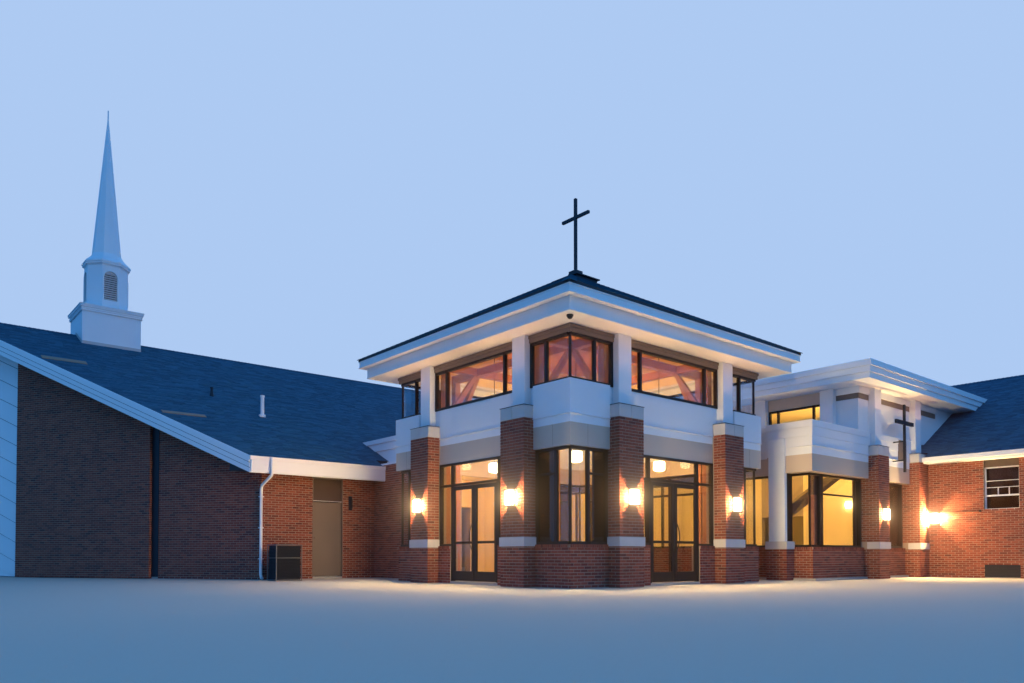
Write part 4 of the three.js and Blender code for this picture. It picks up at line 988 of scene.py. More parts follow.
def makeRoofs():
    r = lobbyRoof
    slopes = []
    for side in lobbySides:
        long, out = (r["halfX"], r["halfY"]) if side in ("front", "back") else (r["halfY"], r["halfX"])
        x, y = placeOnSide(side, 0, out)
        limits = lambda d, long=long: (-(long - d), long - d)
        slopes.append(roofSlope((x, y, r["edge"]), sideAlong[side], r["slope"], r["halfY"], limits))
    layShingles("lobby_shingles", slopes)
    top = r["edge"] + r["slope"] * r["halfY"]
    ridgeHalf = r["halfX"] - r["halfY"]
    hips = [((sx * r["halfX"], sy * r["halfY"], r["edge"]), (sx * ridgeHalf, 0, top), r["hipFall"])
            for sx, sy in cornerSigns]
    layCaps("lobby_hip_caps", hips)

    s = sanctuary
    run = s["ridgeY"] - s["eaveY"]
    tipX = s["left"] - (s["ridgeY"] - s["front"]) * math.tan(s["prowAngle"]) - s["rake"] / prowCos
    right = s["right"] + s["rightOver"]

    def leftAt(d):
        return tipX + (run - d) * math.tan(s["prowAngle"])

    layShingles("sanctuary_shingles", [
        roofSlope((0, s["eaveY"], s["eaveTop"]), (1, 0), s["slope"], run,
                  lambda d: (leftAt(d), -s["link"] if d < s["front"] - s["eaveY"] else right)),
        roofSlope((0, 2 * s["ridgeY"] - s["eaveY"], s["eaveTop"]), (-1, 0), s["slope"], run,
                  lambda d: (-right, -leftAt(d))),
    ])
    ridge = s["eaveTop"] + s["slope"] * run
    layCaps("sanctuary_ridge_caps", [((tipX, s["ridgeY"], ridge), (right, s["ridgeY"], ridge), s["slope"])])

    w = wing
    run = wingRidgeX - w["left"] + w["eave"]
    front = w["front"] - w["eave"]
    layShingles("wing_shingles", [
        roofSlope((w["left"] - w["eave"], 0, w["eaveTop"]), (0, -1), w["slope"], run,
                  lambda d: (-w["hallSide"] if d < w["eave"] else -w["back"], -front)),
        roofSlope((w["right"] + w["eave"], 0, w["eaveTop"]), (0, 1), w["slope"], run,
                  lambda d: (front, w["back"])),
    ])
    ridge = w["eaveTop"] + w["slope"] * run
    layCaps("wing_ridge_caps", [((wingRidgeX, front, ridge), (wingRidgeX, w["back"], ridge), w["slope"])])
    # the roof bodies are painted near-black as painted shade, which shows in the gaps between shingles and in
    # the eave fill
    for name in ("lobby_roof", "sanctuary_roof", "wing_roof"):
        paintNode(name, "louvreShadow")


makeRoofs()
print("roofs shingled")


# Boards and gutters along the big roofs


# A strip that follows a line of points, with its face outwards by reach and its height from low to high
def makeStrip(name, path, low, high, reach, look):
    corners, faces = [], []
    for x, y, z, ox, oy in path:
        corners += [(x, y, z + low), (x + ox * reach, y + oy * reach, z + low),
                    (x + ox * reach, y + oy * reach, z + high), (x, y, z + high)]
    for i in range(len(path) - 1):
        a, b = 4 * i, 4 * i + 4
        faces += [(a, a + 1, b + 1, b), (a + 1, a + 2, b + 2, b + 1), (a + 2, a + 3, b + 3, b + 2),
                  (a + 3, a, b, b + 3)]
    last = 4 * (len(path) - 1)
    faces += [(3, 2, 1, 0), (last, last + 1, last + 2, last + 3)]
    makeSheet(name, corners, faces, look)


rakeBoard = {"face": 845, "eaveOut": 45, "shadow": 16,
             "laps": ((-452, -296, 8), (-304, -146, 20), (-154, 24, 32))}
frontGutter = {"left": -6740, "right": -2340, "face": 48, "low": 3064, "lip": 66, "lipLow": 3398, "top": 3504}


def makeSanctuaryBoards():
    s = sanctuary
    reach = rakeBoard["face"]
    ridge = sanctuaryTop(s["ridgeY"])
    tan = math.tan(s["prowAngle"])
    tipX = s["left"] - (s["ridgeY"] - s["front"]) * tan - reach / prowCos
    cornerX = tipX + (s["ridgeY"] - s["eaveY"] + rakeBoard["eaveOut"]) * tan
    frontY = s["eaveY"] - rakeBoard["eaveOut"]
    backY = 2 * s["ridgeY"] - frontY
    out = 1 / prowCos
    path = [
        (cornerX, frontY, sanctuaryTop(frontY), -out, 0),
        (tipX, s["ridgeY"], ridge, -out, 0),
        (cornerX, backY, sanctuaryTop(backY), -out, 0),
    ]
    for i, (low, high, proud) in enumerate(rakeBoard["laps"]):
        makeStrip(f"rake_board_{i + 1}", path, low, high, proud, "whitePaint")
        if i:
            shadow = rakeBoard["laps"][i - 1][2] + 2
            makeStrip(f"rake_shadow_{i}", path, low - rakeBoard["shadow"], low, shadow, "louvreShadow")
    # the front eave's band with a thin lip along its top
    g = frontGutter
    boxes = [
        ((g["left"] + 40, g["right"] - 40), (frontY - g["face"], frontY + 10), (g["low"], g["lipLow"] + 20)),
        ((g["left"], g["right"]), (frontY - g["lip"], frontY + 10), (g["lipLow"], g["top"])),
        ((g["left"] - 6, g["right"] + 6), (frontY - g["lip"] - 12, frontY), (g["top"] - 18, g["top"] + 4)),
    ]
    makeBars("sanctuary_gutter", boxes, "whitePaint", bevel=4)
    softenNode("sanctuary_fascia", 4, "whitePaint")


# Sizes of the siding boards and of the dark strips painted under their lips as shadow lines
siding = {"first": 81, "spacing": 638, "thick": 40, "thin": 12, "shadeStrip": 24, "shadeStripOut": 6, "shadeStripLap": 4,
          "foot": 20, "least": 60}


# Wide boards that follow the rake, each with a dark strip under its lip as a painted shadow line
def makeProwSiding():
    s = sanctuary
    full = (s["ridgeY"] - s["front"]) / prowCos
    boards, shadeStrips = ([], []), ([], [])
    for mirror in (False, True):
        base = [prowPoint(s["sidingFrom"], 0), prowPoint(full, 0)]
        if mirror:
            base = [(x, 2 * s["ridgeY"] - y) for x, y in base]
        normal = (-prowCos, -prowSin if not mirror else prowSin)
        top = [underRoof(y) for _, y in base]
        last = 0
        lap, out = siding["shadeStripLap"], siding["shadeStripOut"]
        while top[1] - last > siding["least"]:
            under = last + siding["spacing"] if last else siding["first"]
            shadow = last + siding["shadeStrip"] if last else 0
            rows = ((boards, shadow, under, siding["thin"], siding["thick"]),
                    (shadeStrips, under - lap, under + siding["shadeStrip"] + lap, out, out))
            for (corners, faces), upper, lower, upperOut, lowerOut in rows:
                high = [max(z - upper, siding["foot"] + 2) for z in top]
                low = [max(z - lower, siding["foot"]) for z in top]
                first = len(corners)
                for (x, y), z0, z1 in zip(base, low, high):
                    for z, proud in ((z0, lowerOut), (z1, upperOut), (z0, 0)):
                        corners.append((x + normal[0] * proud, y + normal[1] * proud, z))
                ring = [(0, 1, 4, 3), (2, 0, 3, 5)] if mirror else [(3, 4, 1, 0), (5, 3, 0, 2)]
                faces += [[first + k for k in face] for face in ring]
            last = under
    makeSheet("prow_siding_boards", *boards, "whitePaint")
    # the dark strips in the black steel finish are painted shadow lines under the board lips
    makeSheet("prow_siding_painted_shadows", *shadeStrips, "blackSteel")
    paintNode("prow_siding", "whitePaint")
    paintNode("prow_strip", "blackSteel")


# Each band of the wing's eaves: how far out it starts and ends, and its heights
wingEave = {
    "bands": (((0, 22), (3715, 3915)), ((22, 125), (3770, 3786)), ((115, 131), (3770, 3905))),
    "leftLip": ((115, 140), (3890, 3910)), "soffit": (3718, 3734), "rake": (-190, 18, 24),
}


def makeWingBoards():
    w = wing
    left = w["left"] - w["eave"]
    front = w["front"] - w["eave"]
    right = w["right"] + w["eave"]
    short, long = (front, w["hallSide"]), (front, w["back"])
    boxes = [((left - far, left - near), short, heights)
             for (near, far), heights in (*wingEave["bands"], wingEave["leftLip"])]
    boxes.append(((left, w["left"]), short, wingEave["soffit"]))
    boxes += [((right + near, right + far), long, heights) for (near, far), heights in wingEave["bands"]]
    boxes.append(((w["right"], right), long, wingEave["soffit"]))
    makeBars("wing_eave_boards", boxes, "whitePaint", bevel=4)
    ridge = w["eaveTop"] + w["slope"] * (wingRidgeX - left)
    for name, y, oy in (("wing_front_rake", front, -1), ("wing_back_rake", w["back"], 1)):
        peaks = ((left, w["eaveTop"]), (wingRidgeX, ridge), (right, w["eaveTop"]))
        makeStrip(name, [(x, y, z, 0, oy) for x, z in peaks], *wingEave["rake"], "whitePaint")


makeSanctuaryBoards()
makeProwSiding()
makeWingBoards()
print("boards fixed")


# Hall trim and glazing

hallGlass = {"bar": 62, "x": 5520, "y": -3820, "cornerPane": 570, "corner": (-12, 36),
             "mullion": (5990, 6180), "tinted": ((8128, 8418), (10250, 11318)),
             "frontBars": (8128, 8418, 9180, 10250, 11318),
             "leftBars": (-2680, -1300, 50, 1400, 2750, 4100, 5450), "transom": (2468, 2520),
             "columnCover": ((5180, 5440), (-3326, -3304), (1112, 3058)),
             "lamp": ((11990, 12050), (-1830, -1630), (2430, 2620))}
hallFrame = {"post": ((5900, 6080), (-3740, -3560)), "split": 2460, "top": 4200,
             "beam": ((5700, 1850), (9200, 3400)), "beamY": (-3180, -3040), "beamHigh": 380}
hallUpper = {"x": (7990, 8085), "windows": ((-2940, -1040), (-610, 1290)), "head": 5470, "sidePane": 300}


def makeHallGlazing():
    bar = hallGlass["bar"]
    gx, gy = hallGlass["x"], hallGlass["y"]
    low, high = plan["sill"], plan["lintelLow"]
    frontY = (gy - 50, gy + 45)
    leftX = (gx - 50, gx + 45)
    boxes = []
    for x, y in (((gx - 50, hall["pierB"][0]), frontY), ((hall["pierB"][1], hall["pierC"][0]), frontY),
                 (leftX, (gy, hall["back"] - 10))):
        boxes += [(x, y, (low, low + bar)), (x, y, (high - bar, high))]
    boxes += [((x, x + bar), frontY, (low, high)) for x in hallGlass["frontBars"]]
    near, far = hallGlass["corner"]
    boxes.append(((gx + near, gx + far), (gy + near, gy + far), (low, high)))
    boxes.append((hallGlass["mullion"], frontY, (low, high)))
    bars = (gy + hallGlass["cornerPane"], *hallGlass["leftBars"])
    boxes += [(leftX, (y, y + bar), (low, high)) for y in bars]
    transom = (hallGlass["mullion"][1], hallGlass["tinted"][0][0])
    boxes.append((transom, (gy - 10, gy + 35), hallGlass["transom"]))
    makeBars("hall_sashes", boxes, "darkBronze", bevel=4)
    panes = [((x0 + bar, x1), (gy + 28, gy + 36), (low, high)) for x0, x1 in hallGlass["tinted"]]
    makeBars("hall_tinted_panes", panes, "bronzeGlass", bevel=0)
    # the timber post and the long brace behind the corner
    (postX, postY), split = hallFrame["post"], hallFrame["split"]
    makeBars("hall_post_foot", [(postX, postY, (low, split))], "stainedTimber", bevel=6)
    makeBars("hall_post_head", [(postX, postY, (split, hallFrame["top"]))], "umberPanel", bevel=6)
    corners = [(x, y, z + rise) for x, z in hallFrame["beam"] for y in hallFrame["beamY"]
               for rise in (0, hallFrame["beamHigh"])]
    faces = [(0, 1, 3, 2), (4, 6, 7, 5), (0, 4, 5, 1), (2, 3, 7, 6), (1, 5, 7, 3), (0, 2, 6, 4)]
    makeSheet("hall_brace", corners, faces, "umberPanel")
    # a dark bronze-coloured sheet over the glass side of the corner column
    makeBars("hall_column_cover", [hallGlass["columnCover"]], "darkBronze", bevel=3)
    makeBars("hall_inner_lamp", [hallGlass["lamp"]], "lampGlass", bevel=14)
    paintNode("hall_glass", "clearGlass")
    # upper windows on the left face
    x, side = hallUpper["x"], hallUpper["sidePane"]
    low, high = plan["beltHigh"], hallUpper["head"]
    upper = []
    for y0, y1 in hallUpper["windows"]:
        upper += [(x, (y0, y1), (low, low + bar)), (x, (y0, y1), (high - bar, high))]
        upper += [(x, (y, y + bar), (low, high)) for y in (y0, y0 + side, y1 - side - bar, y1 - bar)]
    makeBars("hall_upper_sashes", upper, "darkBronze", bevel=4)
    paintNode("hall_upper_glass", "clearGlass")


# How far each row of the belt stands out, and its heights
hallBelt = ((3, (3556, 3766)), (34, (3768, 3782)), (8, (3784, 4056)), (16, (4062, 4306)), (26, (4312, 4482)))


hallTrim = {
    "corner": (5120, -2720), "sideFace": 5380, "sideEnd": 5600, "headerX": (7960, 7985),
    "headerZ": (5470, 5830), "walls": ((7985, 8610), (9050, 11510), (11950, 13600)),
    "sideWall": (7985, -3372),
    "strip": {"sideX": 7958, "y": (-4082, -4055), "sideY": -4070, "z": (5480, 5640)},
    "cornice": {"sideX": 7925, "y": (-4115, -4055), "sideY": -4115, "z": (5640, 5838)},
    "plate": ((10520, 11098), (-4148, -4118), (3772, 4449)), "copingZ": (4474, 4496),
    "copings": (((5095, 5400), (-4145, -2695)), ((5400, 12070), (-4145, -3740)),
                ((5355, 5700), (-2695, 6600))),
}


def makeHallTrim():
    for name, width, look in (
            ("hall_belt_roof", 5, "whiteStucco"), ("hall_lintel", 4, "taupePanel"),
            ("hall_corner_column", 5, "whitePaint"), ("hall_upper_walls", 5, "whiteStucco"),
            ("hall_upper_roof", 4, "whitePaint"), ("link_roof", 4, "whitePaint"),
            ("hall_wall_cross", 4, "blackSteel")):
        softenNode(name, width, look)
    t, front = hallTrim, hall["beltFace"]
    left, back = t["corner"]
    boxes = []
    for out, z in hallBelt:
        boxes += [
            ((left - out, left), (front - out, back), z),
            ((left, hall["pierB"][0]), (front - out, front), z),
            ((t["sideFace"] - out, t["sideFace"]), (back, t["sideEnd"]), z),
            ((hall["pierB"][1], hall["pierC"][0]), (front - out, front), z),
        ]
    makeBars("hall_belt_panels", boxes, "whiteStucco", bevel=4)
    headers = [(t["headerX"], window, t["headerZ"]) for window in hallUpper["windows"]]
    makeBars("hall_window_headers", headers, "taupePanel", bevel=4)
    for name, row, look, bevel in (("hall_header_strips", t["strip"], "brownSteel", 3),
                                   ("hall_cornices", t["cornice"], "whitePaint", 6)):
        wallX, wallY = t["sideWall"]
        boxes = [((row["sideX"], wallX), (row["sideY"], wallY), row["z"])]
        boxes += [(wall, row["y"], row["z"]) for wall in t["walls"]]
        makeBars(name, boxes, look, bevel=bevel)
    makeBars("hall_wall_plate", [t["plate"]], "tanFlashing", bevel=6)
    makeBars("hall_copings", [(x, y, t["copingZ"]) for x, y in t["copings"]], "whitePaint", bevel=5)


makeHallGlazing()
makeHallTrim()
print("hall trimmed")


# Wing windows and vents

sash = {"frame": 38, "depth": 60, "rails": ((2567, 52), (2841, 18), (3048, 18)), "uprights": (0.375, 0.683),
        "uprightZ": (2619, 2841), "in": 95, "panel": (60, 90)}
vent = {"slats": 8, "first": 14, "pitch": 46, "slat": 16, "end": 20, "frame": 24}
wingLampRod = (((-30, -16), (-5960, -4700), (2120, 2134)), ((-60, -2), (-6010, -5950), (2090, 2150)))


def makeWingWindows():
    w = wing
    white, panels, vents, backs = [], [], [], []
    half = w["windowWidth"] / 2
    low, high = w["windowLow"], w["windowHigh"]
    for x, sign in ((w["left"], 1), (w["right"], -1)):

        def deep(a, b):
            return sorted((x + sign * a, x + sign * b))

        near = deep(sash["in"], sash["in"] + sash["depth"])
        for c in windowCentres:
            f, wide = sash["frame"], (c - half, c + half)
            for ends in ((c - half, c - half + f), (c + half - f, c + half)):
                white.append((near, ends, (low, high)))
            for z, thick in ((low, f), (high - f, f), *sash["rails"]):
                white.append((near, wide, (z, z + thick)))
            for share in sash["uprights"]:
                y = c + half - share * 2 * half
                white.append((near, (y - 9, y + 9), sash["uprightZ"]))
            panels.append((deep(*sash["panel"]), wide, (high, w["headTop"])))
            backs.append((deep(-3, 20), wide, (w["ventLow"], w["ventHigh"])))
            for i in range(vent["slats"]):
                z = w["ventLow"] + vent["first"] + i * vent["pitch"]
                slat = (c - half + vent["end"], c + half - vent["end"])
                vents.append((deep(-7, 30), slat, (z, z + vent["slat"])))
            f = vent["frame"]
            for ends in ((c - half, c - half + f), (c + half - f, c + half)):
                vents.append((deep(-10, 20), ends, (w["ventLow"], w["ventHigh"])))
            for z in (w["ventLow"], w["ventHigh"] - f):
                vents.append((deep(-10, 20), wide, (z, z + f)))
    makeBars("wing_sashes", white, "whitePaint", bevel=3)
    makeBars("wing_head_panels", panels, "umberPanel", bevel=3)
    makeBars("wing_vents", vents, "blackSteel", bevel=2)
    # the plates behind the vent slats are painted near-black as the shade behind them
    makeBars("wing_vent_shade_backs", backs, "louvreShadow", bevel=0)
    rod = [((w["left"] + a, w["left"] + b), y, z) for (a, b), y, z in wingLampRod]
    makeBars("wing_lamp_rod", rod, "blackSteel", bevel=2)
    for name in ("wing_windows_left", "wing_windows_right"):
        paintNode(name, "bronzeGlass")


makeWingWindows()
print("wing windows made")


# Steeple

# Each ring: how far out from the face, and its foot over the box's top and thickness, or its heights
steeple = {"x": -8090, "half": 970, "boxTop": 9710, "archLow": 10070, "archRadius": 225, "archStraight": 850,
           "archDepth": 80, "belfryHalf": 682.5, "corner": 7, "cornerZ": (6200, 9490),
           "skirtOut": 14, "skirt": (-20, 110),
           "boxRings": ((54, -246, 28), (56, -180, 26), (94, -64, 24), (100, -24, 26), (-160, 0, 40)),
           "belfryRings": ((26, (9730, 9860)), (14, (11360, 11402)), (90, (11462, 11506)))}
louvre = {"pitch": 78, "first": 34, "out": 38, "wide": 62, "thick": 12, "tilt": 28, "frame": 42,
          "frameOut": 22, "frameBack": 10, "lap": 2, "clear": 30, "sideGap": 4, "back": (-3, 5)}


def squarePlan(x, y, half):
    return [(x - half, y - half), (x + half, y - half), (x + half, y + half), (x - half, y + half)]


# A raised frame round each of the belfry's arched louvres
def makeArchFrames(x, y):
    radius, face = steeple["archRadius"], steeple["belfryHalf"]
    steps = 12
    outline = [(-1, 0)] + [(0, i) for i in range(steps + 1)] + [(1, 0)]  # side of a foot, step round the arch
    corners, faces = [], []
    for quarter in range(4):
        angle = quarter * math.pi / 2
        sin, cos = math.sin(angle), math.cos(angle)
        first = len(corners)
        for k, (side, i) in enumerate(outline):
            foot = k in (0, len(outline) - 1)
            turn = math.pi - i * math.pi / steps
            for grow in (radius - louvre["lap"], radius + louvre["frame"]):
                s = side * grow if foot else math.cos(turn) * grow
                z = steeple["archLow"] + (0 if foot else steeple["archStraight"] + math.sin(turn) * grow)
                for out in (face - louvre["frameBack"], face + louvre["frameOut"]):
                    corners.append((x + sin * out + cos * s, y - cos * out + sin * s, z))
        for k in range(len(outline) - 1):
            a, b = first + 4 * k, first + 4 * k + 4
            faces += [(a, b, b + 1, a + 1), (a + 1, b + 1, b + 3, a + 3), (a + 3, b + 3, b + 2, a + 2)]
    makeSheet("belfry_arch_frames", corners, faces, "whitePaint")


def makeSteeple():
    for name, width in (("base", 6), ("belfry", 5), ("spire", 8)):
        softenNode(f"steeple_{name}", width, "whitePaint")
    x, y = steeple["x"], sanctuary["ridgeY"]
    low, radius = steeple["archLow"], steeple["archRadius"]
    piece = startPiece("belfry_louvres")
    backs = []
    reach = steeple["belfryHalf"] - steeple["archDepth"]
    count = int((steeple["archStraight"] + radius) / louvre["pitch"])
    for quarter in range(4):
        angle = quarter * math.pi / 2
        sin, cos = math.sin(angle), math.cos(angle)
        for i in range(count):
            z = louvre["first"] + i * louvre["pitch"]
            over = max(0, z + 20 - steeple["archStraight"])
            if over > radius - louvre["clear"]:
                break
            halfWidth = math.sqrt(radius ** 2 - over ** 2) - louvre["sideGap"]
            blade = reach + louvre["out"]
            bpy.ops.mesh.primitive_cube_add(
                size=1, location=((x + sin * blade) * mm, (y - cos * blade) * mm, (low + z) * mm),
                rotation=(math.radians(-louvre["tilt"]), 0, angle),
                scale=(2 * halfWidth * mm, louvre["wide"] * mm, louvre["thick"] * mm))
            # the dark back behind each blade is painted shade, and it is as wide as the arch is there
            near, far = [reach + out for out in louvre["back"]]
            across = sorted((x + sin * near + cos * halfWidth, x + sin * far - cos * halfWidth))
            deep = sorted((y - cos * near + sin * halfWidth, y - cos * far - sin * halfWidth))
            backs.append((across, deep, (low + z - louvre["pitch"] / 2, low + z + louvre["pitch"] / 2)))
    finishPiece(piece, 3, "whitePaint")
    makeBars("belfry_louvre_shade_backs", backs, "louvreShadow", bevel=0)
    makeArchFrames(x, y)
    # mouldings round box and belfry, and a flashing where the box leaves the roof
    top = steeple["boxTop"]
    rings = [(squarePlan(x, y, steeple["half"] + out), (top + z, top + z + thick))
             for out, z, thick in steeple["boxRings"]]
    turns = [math.pi / 8 + i * math.pi / 4 for i in range(8)]
    for out, heights in steeple["belfryRings"]:
        reach = (steeple["belfryHalf"] + out) / math.cos(math.pi / 8)
        rings.append(([(x + reach * math.cos(t), y + reach * math.sin(t)) for t in turns], heights))
    makePrisms("steeple_mouldings", rings, "whitePaint", bevel=5)
    half, c = steeple["half"], steeple["corner"]
    boards = [((x + sx * half - c, x + sx * half + c), (y + sy * half - c, y + sy * half + c),
               steeple["cornerZ"]) for sx, sy in cornerSigns]
    makeBars("steeple_corner_lines", boards, "whitePaint", bevel=3)
    foot = squarePlan(x, y, half + steeple["skirtOut"])
    corners, faces = [], []
    for i in range(4):
        (ax, ay), (bx, by) = foot[i], foot[(i + 1) % 4]
        middle = ((ax + bx) / 2, (ay + by) / 2)
        points = [(ax, ay), middle, (bx, by)]
        for (px, py), (qx, qy) in zip(points, points[1:]):
            first = len(corners)
            for cx, cy in ((px, py), (qx, qy)):
                corners += [(cx, cy, sanctuaryTop(cy) + lift) for lift in steeple["skirt"]]
            faces.append([first, first + 2, first + 3, first + 1])
    makeSheet("steeple_skirt", corners, faces, "castStone")


makeSteeple()
print("steeple finished")


# Lamps and the lobby's inside

lamp = {"wide": 230, "high": 330, "deep": 120, "capOver": 18, "capHigh": 26, "z": 2000, "power": 105,
        "radius": 58, "hall": ((8830, -4420), 1960), "wing": ((12080, -4640), 1930), "wingPower": 336}
lampColor = (1.0, 0.65, 0.20)
sconceColor = (1.0, 0.74, 0.34)


def addPointLight(name, place, power, radius, color=lampColor):
    light = bpy.data.lights.new(name, "POINT")
    light.energy = power
    light.color = color
    light.shadow_soft_size = radius * mm
    item = bpy.data.objects.new(name, light)
    item.location = [value * mm for value in place]
    item.visible_camera = False
    item.visible_glossy = False
    item.visible_transmission = False
    bpy.context.scene.collection.objects.link(item)


# The light sits inside the shade, so that the caps throw their shadows up and down the brick.
# The lamp is at a place on the brick face, and along is the wall's left to right.
def makeSconce(name, at, along, z, power=lamp["power"]):
    ax, ay = along

    def cell(s, out, heights):
        first = (at[0] + ax * s[0] + ay * out[0], at[1] + ay * s[0] - ax * out[0])
        second = (at[0] + ax * s[1] + ay * out[1], at[1] + ay * s[1] - ax * out[1])
        return tuple(sorted(pair) for pair in zip(first, second)) + (heights,)

    half, high, deep = lamp["wide"] / 2, lamp["high"] / 2, lamp["deep"]
    base = brick["proud"]
    over, cap = lamp["capOver"], lamp["capHigh"]
    shade = [cell((-half, half), (base + 20, base + deep), (z - high, z + high))]
    metal = [cell((-half + 20, half - 20), (base, base + 22), (z - high - 20, z + high + 20))]
    for low in (z - high - cap, z + high):
        metal.append(cell((-half - over, half + over), (base + 8, base + deep + over), (low, low + cap)))
    for s in (-half - 6, half - 6):
        metal.append(cell((s, s + 12), (base + deep - 6, base + deep + 6), (z - high, z + high)))
    opal = makeBars(f"{name}_shade", shade, "lampGlass", bevel=22)
    opal.visible_shadow = False
    makeBars(f"{name}_cage", metal, "blackSteel", bevel=4)
    out = base + deep * 0.6
    place = (at[0] + ay * out, at[1] - ax * out, z)
    addPointLight(f"{name}_light", place, power, lamp["radius"], sconceColor)


def makeSconces():
    count = 0
    for side in ("front", "left"):
        half, out, corner = lobbySides[side]
        middle = half - corner - plan["pier"] / 2
        for s in (-middle, middle):
            count += 1
            at = placeOnSide(side, s, out + plan["pierOut"])
            makeSconce(f"lobby_sconce_{count}", at, sideAlong[side], lamp["z"])
    at, z = lamp["hall"]
    makeSconce("hall_sconce", at, (1, 0), z)
    at, z = lamp["wing"]
    makeSconce("wing_sconce", at, (0, -1), z, lamp["wingPower"])


pendant = {"places": ((-1600, -1600), (1600, -1600), (-1600, 1600)), "z": 3150, "half": 135, "power": 26,
           "lightDrop": 230, "radius": 110, "rodTop": 7350}
upLight = {"at": (0, 0, 4600), "power": 88, "radius": 300, "color": (1.0, 0.62, 0.22)}


def makePendants():
    boxes, rods = [], []
    h, z = pendant["half"], pendant["z"]
    for i, (x, y) in enumerate(pendant["places"]):
        boxes.append(((x - h, x + h), (y - h, y + h), (z - h, z + h)))
        top = z + h
        rods.append(((x - 9, x + 9), (y - 9, y + 9), (top, pendant["rodTop"])))
        rods.append(((x - 55, x + 55), (y - 55, y + 55), (top - 18, top + 22)))
        place = (x, y, z - pendant["lightDrop"])
        addPointLight(f"pendant_light_{i + 1}", place, pendant["power"], pendant["radius"])
    makeBars("lobby_pendant_shades", boxes, "opalLamp", bevel=42)
    makeBars("lobby_pendant_rods", rods, "darkBronze", bevel=4)
    addPointLight("lobby_uplight", upLight["at"], upLight["power"], upLight["radius"], upLight["color"])


ceiling = {"board": 150, "gap": 7, "thick": 16, "drop": 6, "in": 410, "low": 6652, "frieze": (5735, 6640)}


def makeCeiling():
    corners, faces = [], []
    slope = lobbyRoof["slope"]
    halfX, halfY = [half - ceiling["in"] for half in lobbyHalf]
    scale = math.hypot(1, slope)
    count = int(halfY * scale / ceiling["board"])
    for side in lobbySides:
        long, out = (halfX, halfY) if side in ("front", "back") else (halfY, halfX)
        for i in range(count):
            d0 = i * ceiling["board"] / scale
            d1 = ((i + 1) * ceiling["board"] - ceiling["gap"]) / scale
            first = len(corners)
            for d in (d0, d1):
                reach = max(long - d, 0)
                for s in (-reach, reach):
                    px, py = placeOnSide(side, s, out - d)
                    z = ceiling["low"] + slope * d - ceiling["drop"]
                    corners += [(px, py, z - ceiling["thick"]), (px, py, z)]
            faces += [[first + k for k in face] for face in
                      ((0, 4, 6, 2), (0, 2, 3, 1), (4, 5, 7, 6), (1, 3, 7, 5), (0, 1, 5, 4), (2, 6, 7, 3))]
    makeSheet("lobby_ceiling_boards", corners, faces, "ceilingBoard")
    frieze = []
    for side, (half, out, _) in lobbySides.items():
        reach, face = half - ceiling["in"], out - ceiling["in"]
        frieze.append(boxOnSide(side, (-reach, reach), (face - 8, face + 8), ceiling["frieze"]))
    makeBars("lobby_frieze", frieze, "warmPlaster", bevel=0)


# Plaster on the inside of the hall, the link and the wall behind them, and the lights in there
linings = [
    ((5700, 11126), (6754, 6772), (60, 3545)),
    ((11110, 12070), (6508, 6526), (60, 3545)),
    ((12052, 12072), (-3800, 20), (60, 4225)),
    ((12052, 12072), (1780, 6508), (60, 4225)),
    ((5700, 8170), (-3740, 6526), (4212, 4226)),
    ((8190, 11880), (-3850, 2980), (5800, 5830)),
    ((-2120, 2120), (6752, 6772), (2410, 3370)),
    ((-2120, -1500), (6752, 6772), (60, 2410)),
    ((1500, 2120), (6752, 6772), (60, 2410)),
    ((-2124, -2112), (3740, 6752), (60, 3370)),
    ((2112, 2124), (3740, 6752), (60, 3370)),
    ((-2110, 2110), (3740, 6750), (3355, 3372)),
]
roomLights = (
    ("hall_light_1", (7000, -1800, 3600), 48, 300), ("hall_light_2", (10000, -1800, 3900), 56, 300),
    ("hall_light_3", (8000, 3600, 3500), 50, 300), ("link_light", (0, 5200, 3000), 28, 200),
)


def makeInsides():
    makeBars("inner_linings", linings, "warmPlaster", bevel=0)
    for light in roomLights:
        addPointLight(*light)


makeSconces()
makePendants()
makeCeiling()
makeInsides()
softenNode("lobby_timber_frame", 6, "stainedTimber")
softenNode("lobby_cross", 3, "blackSteel")
print("lamps lit")


# Side door, downspout, condenser and roof vents

sideDoor = {"x": (-4510, -3510), "y": 6780, "top": 2350, "panelTop": 3110, "casing": 20}
# The lamp on the wall beside it: place along the wall, how far out, and heights
wallFixture = (((-3310, -3200), (8, 60), (2130, 2570)), ((-3300, -3210), (60, 110), (2200, 2500)))


def makeSideDoor():
    x0, x1 = sideDoor["x"]
    y, c = sideDoor["y"], sideDoor["casing"]
    top, panelTop = sideDoor["top"], sideDoor["panelTop"]
    jambs = ((x0 - 10, x0 + c - 6), (x1 - c + 6, x1 + 10))
    boxes = [(x, (y - 14, y + 70), (plan["floor"], panelTop - 4)) for x in jambs]
    boxes.append(((x0, x1), (y - 10, y + 60), (panelTop - 44, panelTop - 4)))
    makeBars("side_door_casing", boxes, "brownSteel", bevel=5)
    head = ((x0 + 10, x1 - 10), (y + 8, y + 62), (top + 22, top + 44))
    makeBars("side_door_head", [head], "castStone", bevel=4)
    paintNode("side_door_panel", "umberPanel")
    softenNode("side_door", 4, "brownSteel")
    fixture = [(x, (y - far, y - near), z) for x, (near, far), z in wallFixture]
    makeBars("wall_fixture", fixture, "blackSteel", bevel=10)


pipe = {"x": -6150, "radius": 46, "outletY": 6012, "wallGap": 62, "straps": (600, 1500, 2400)}


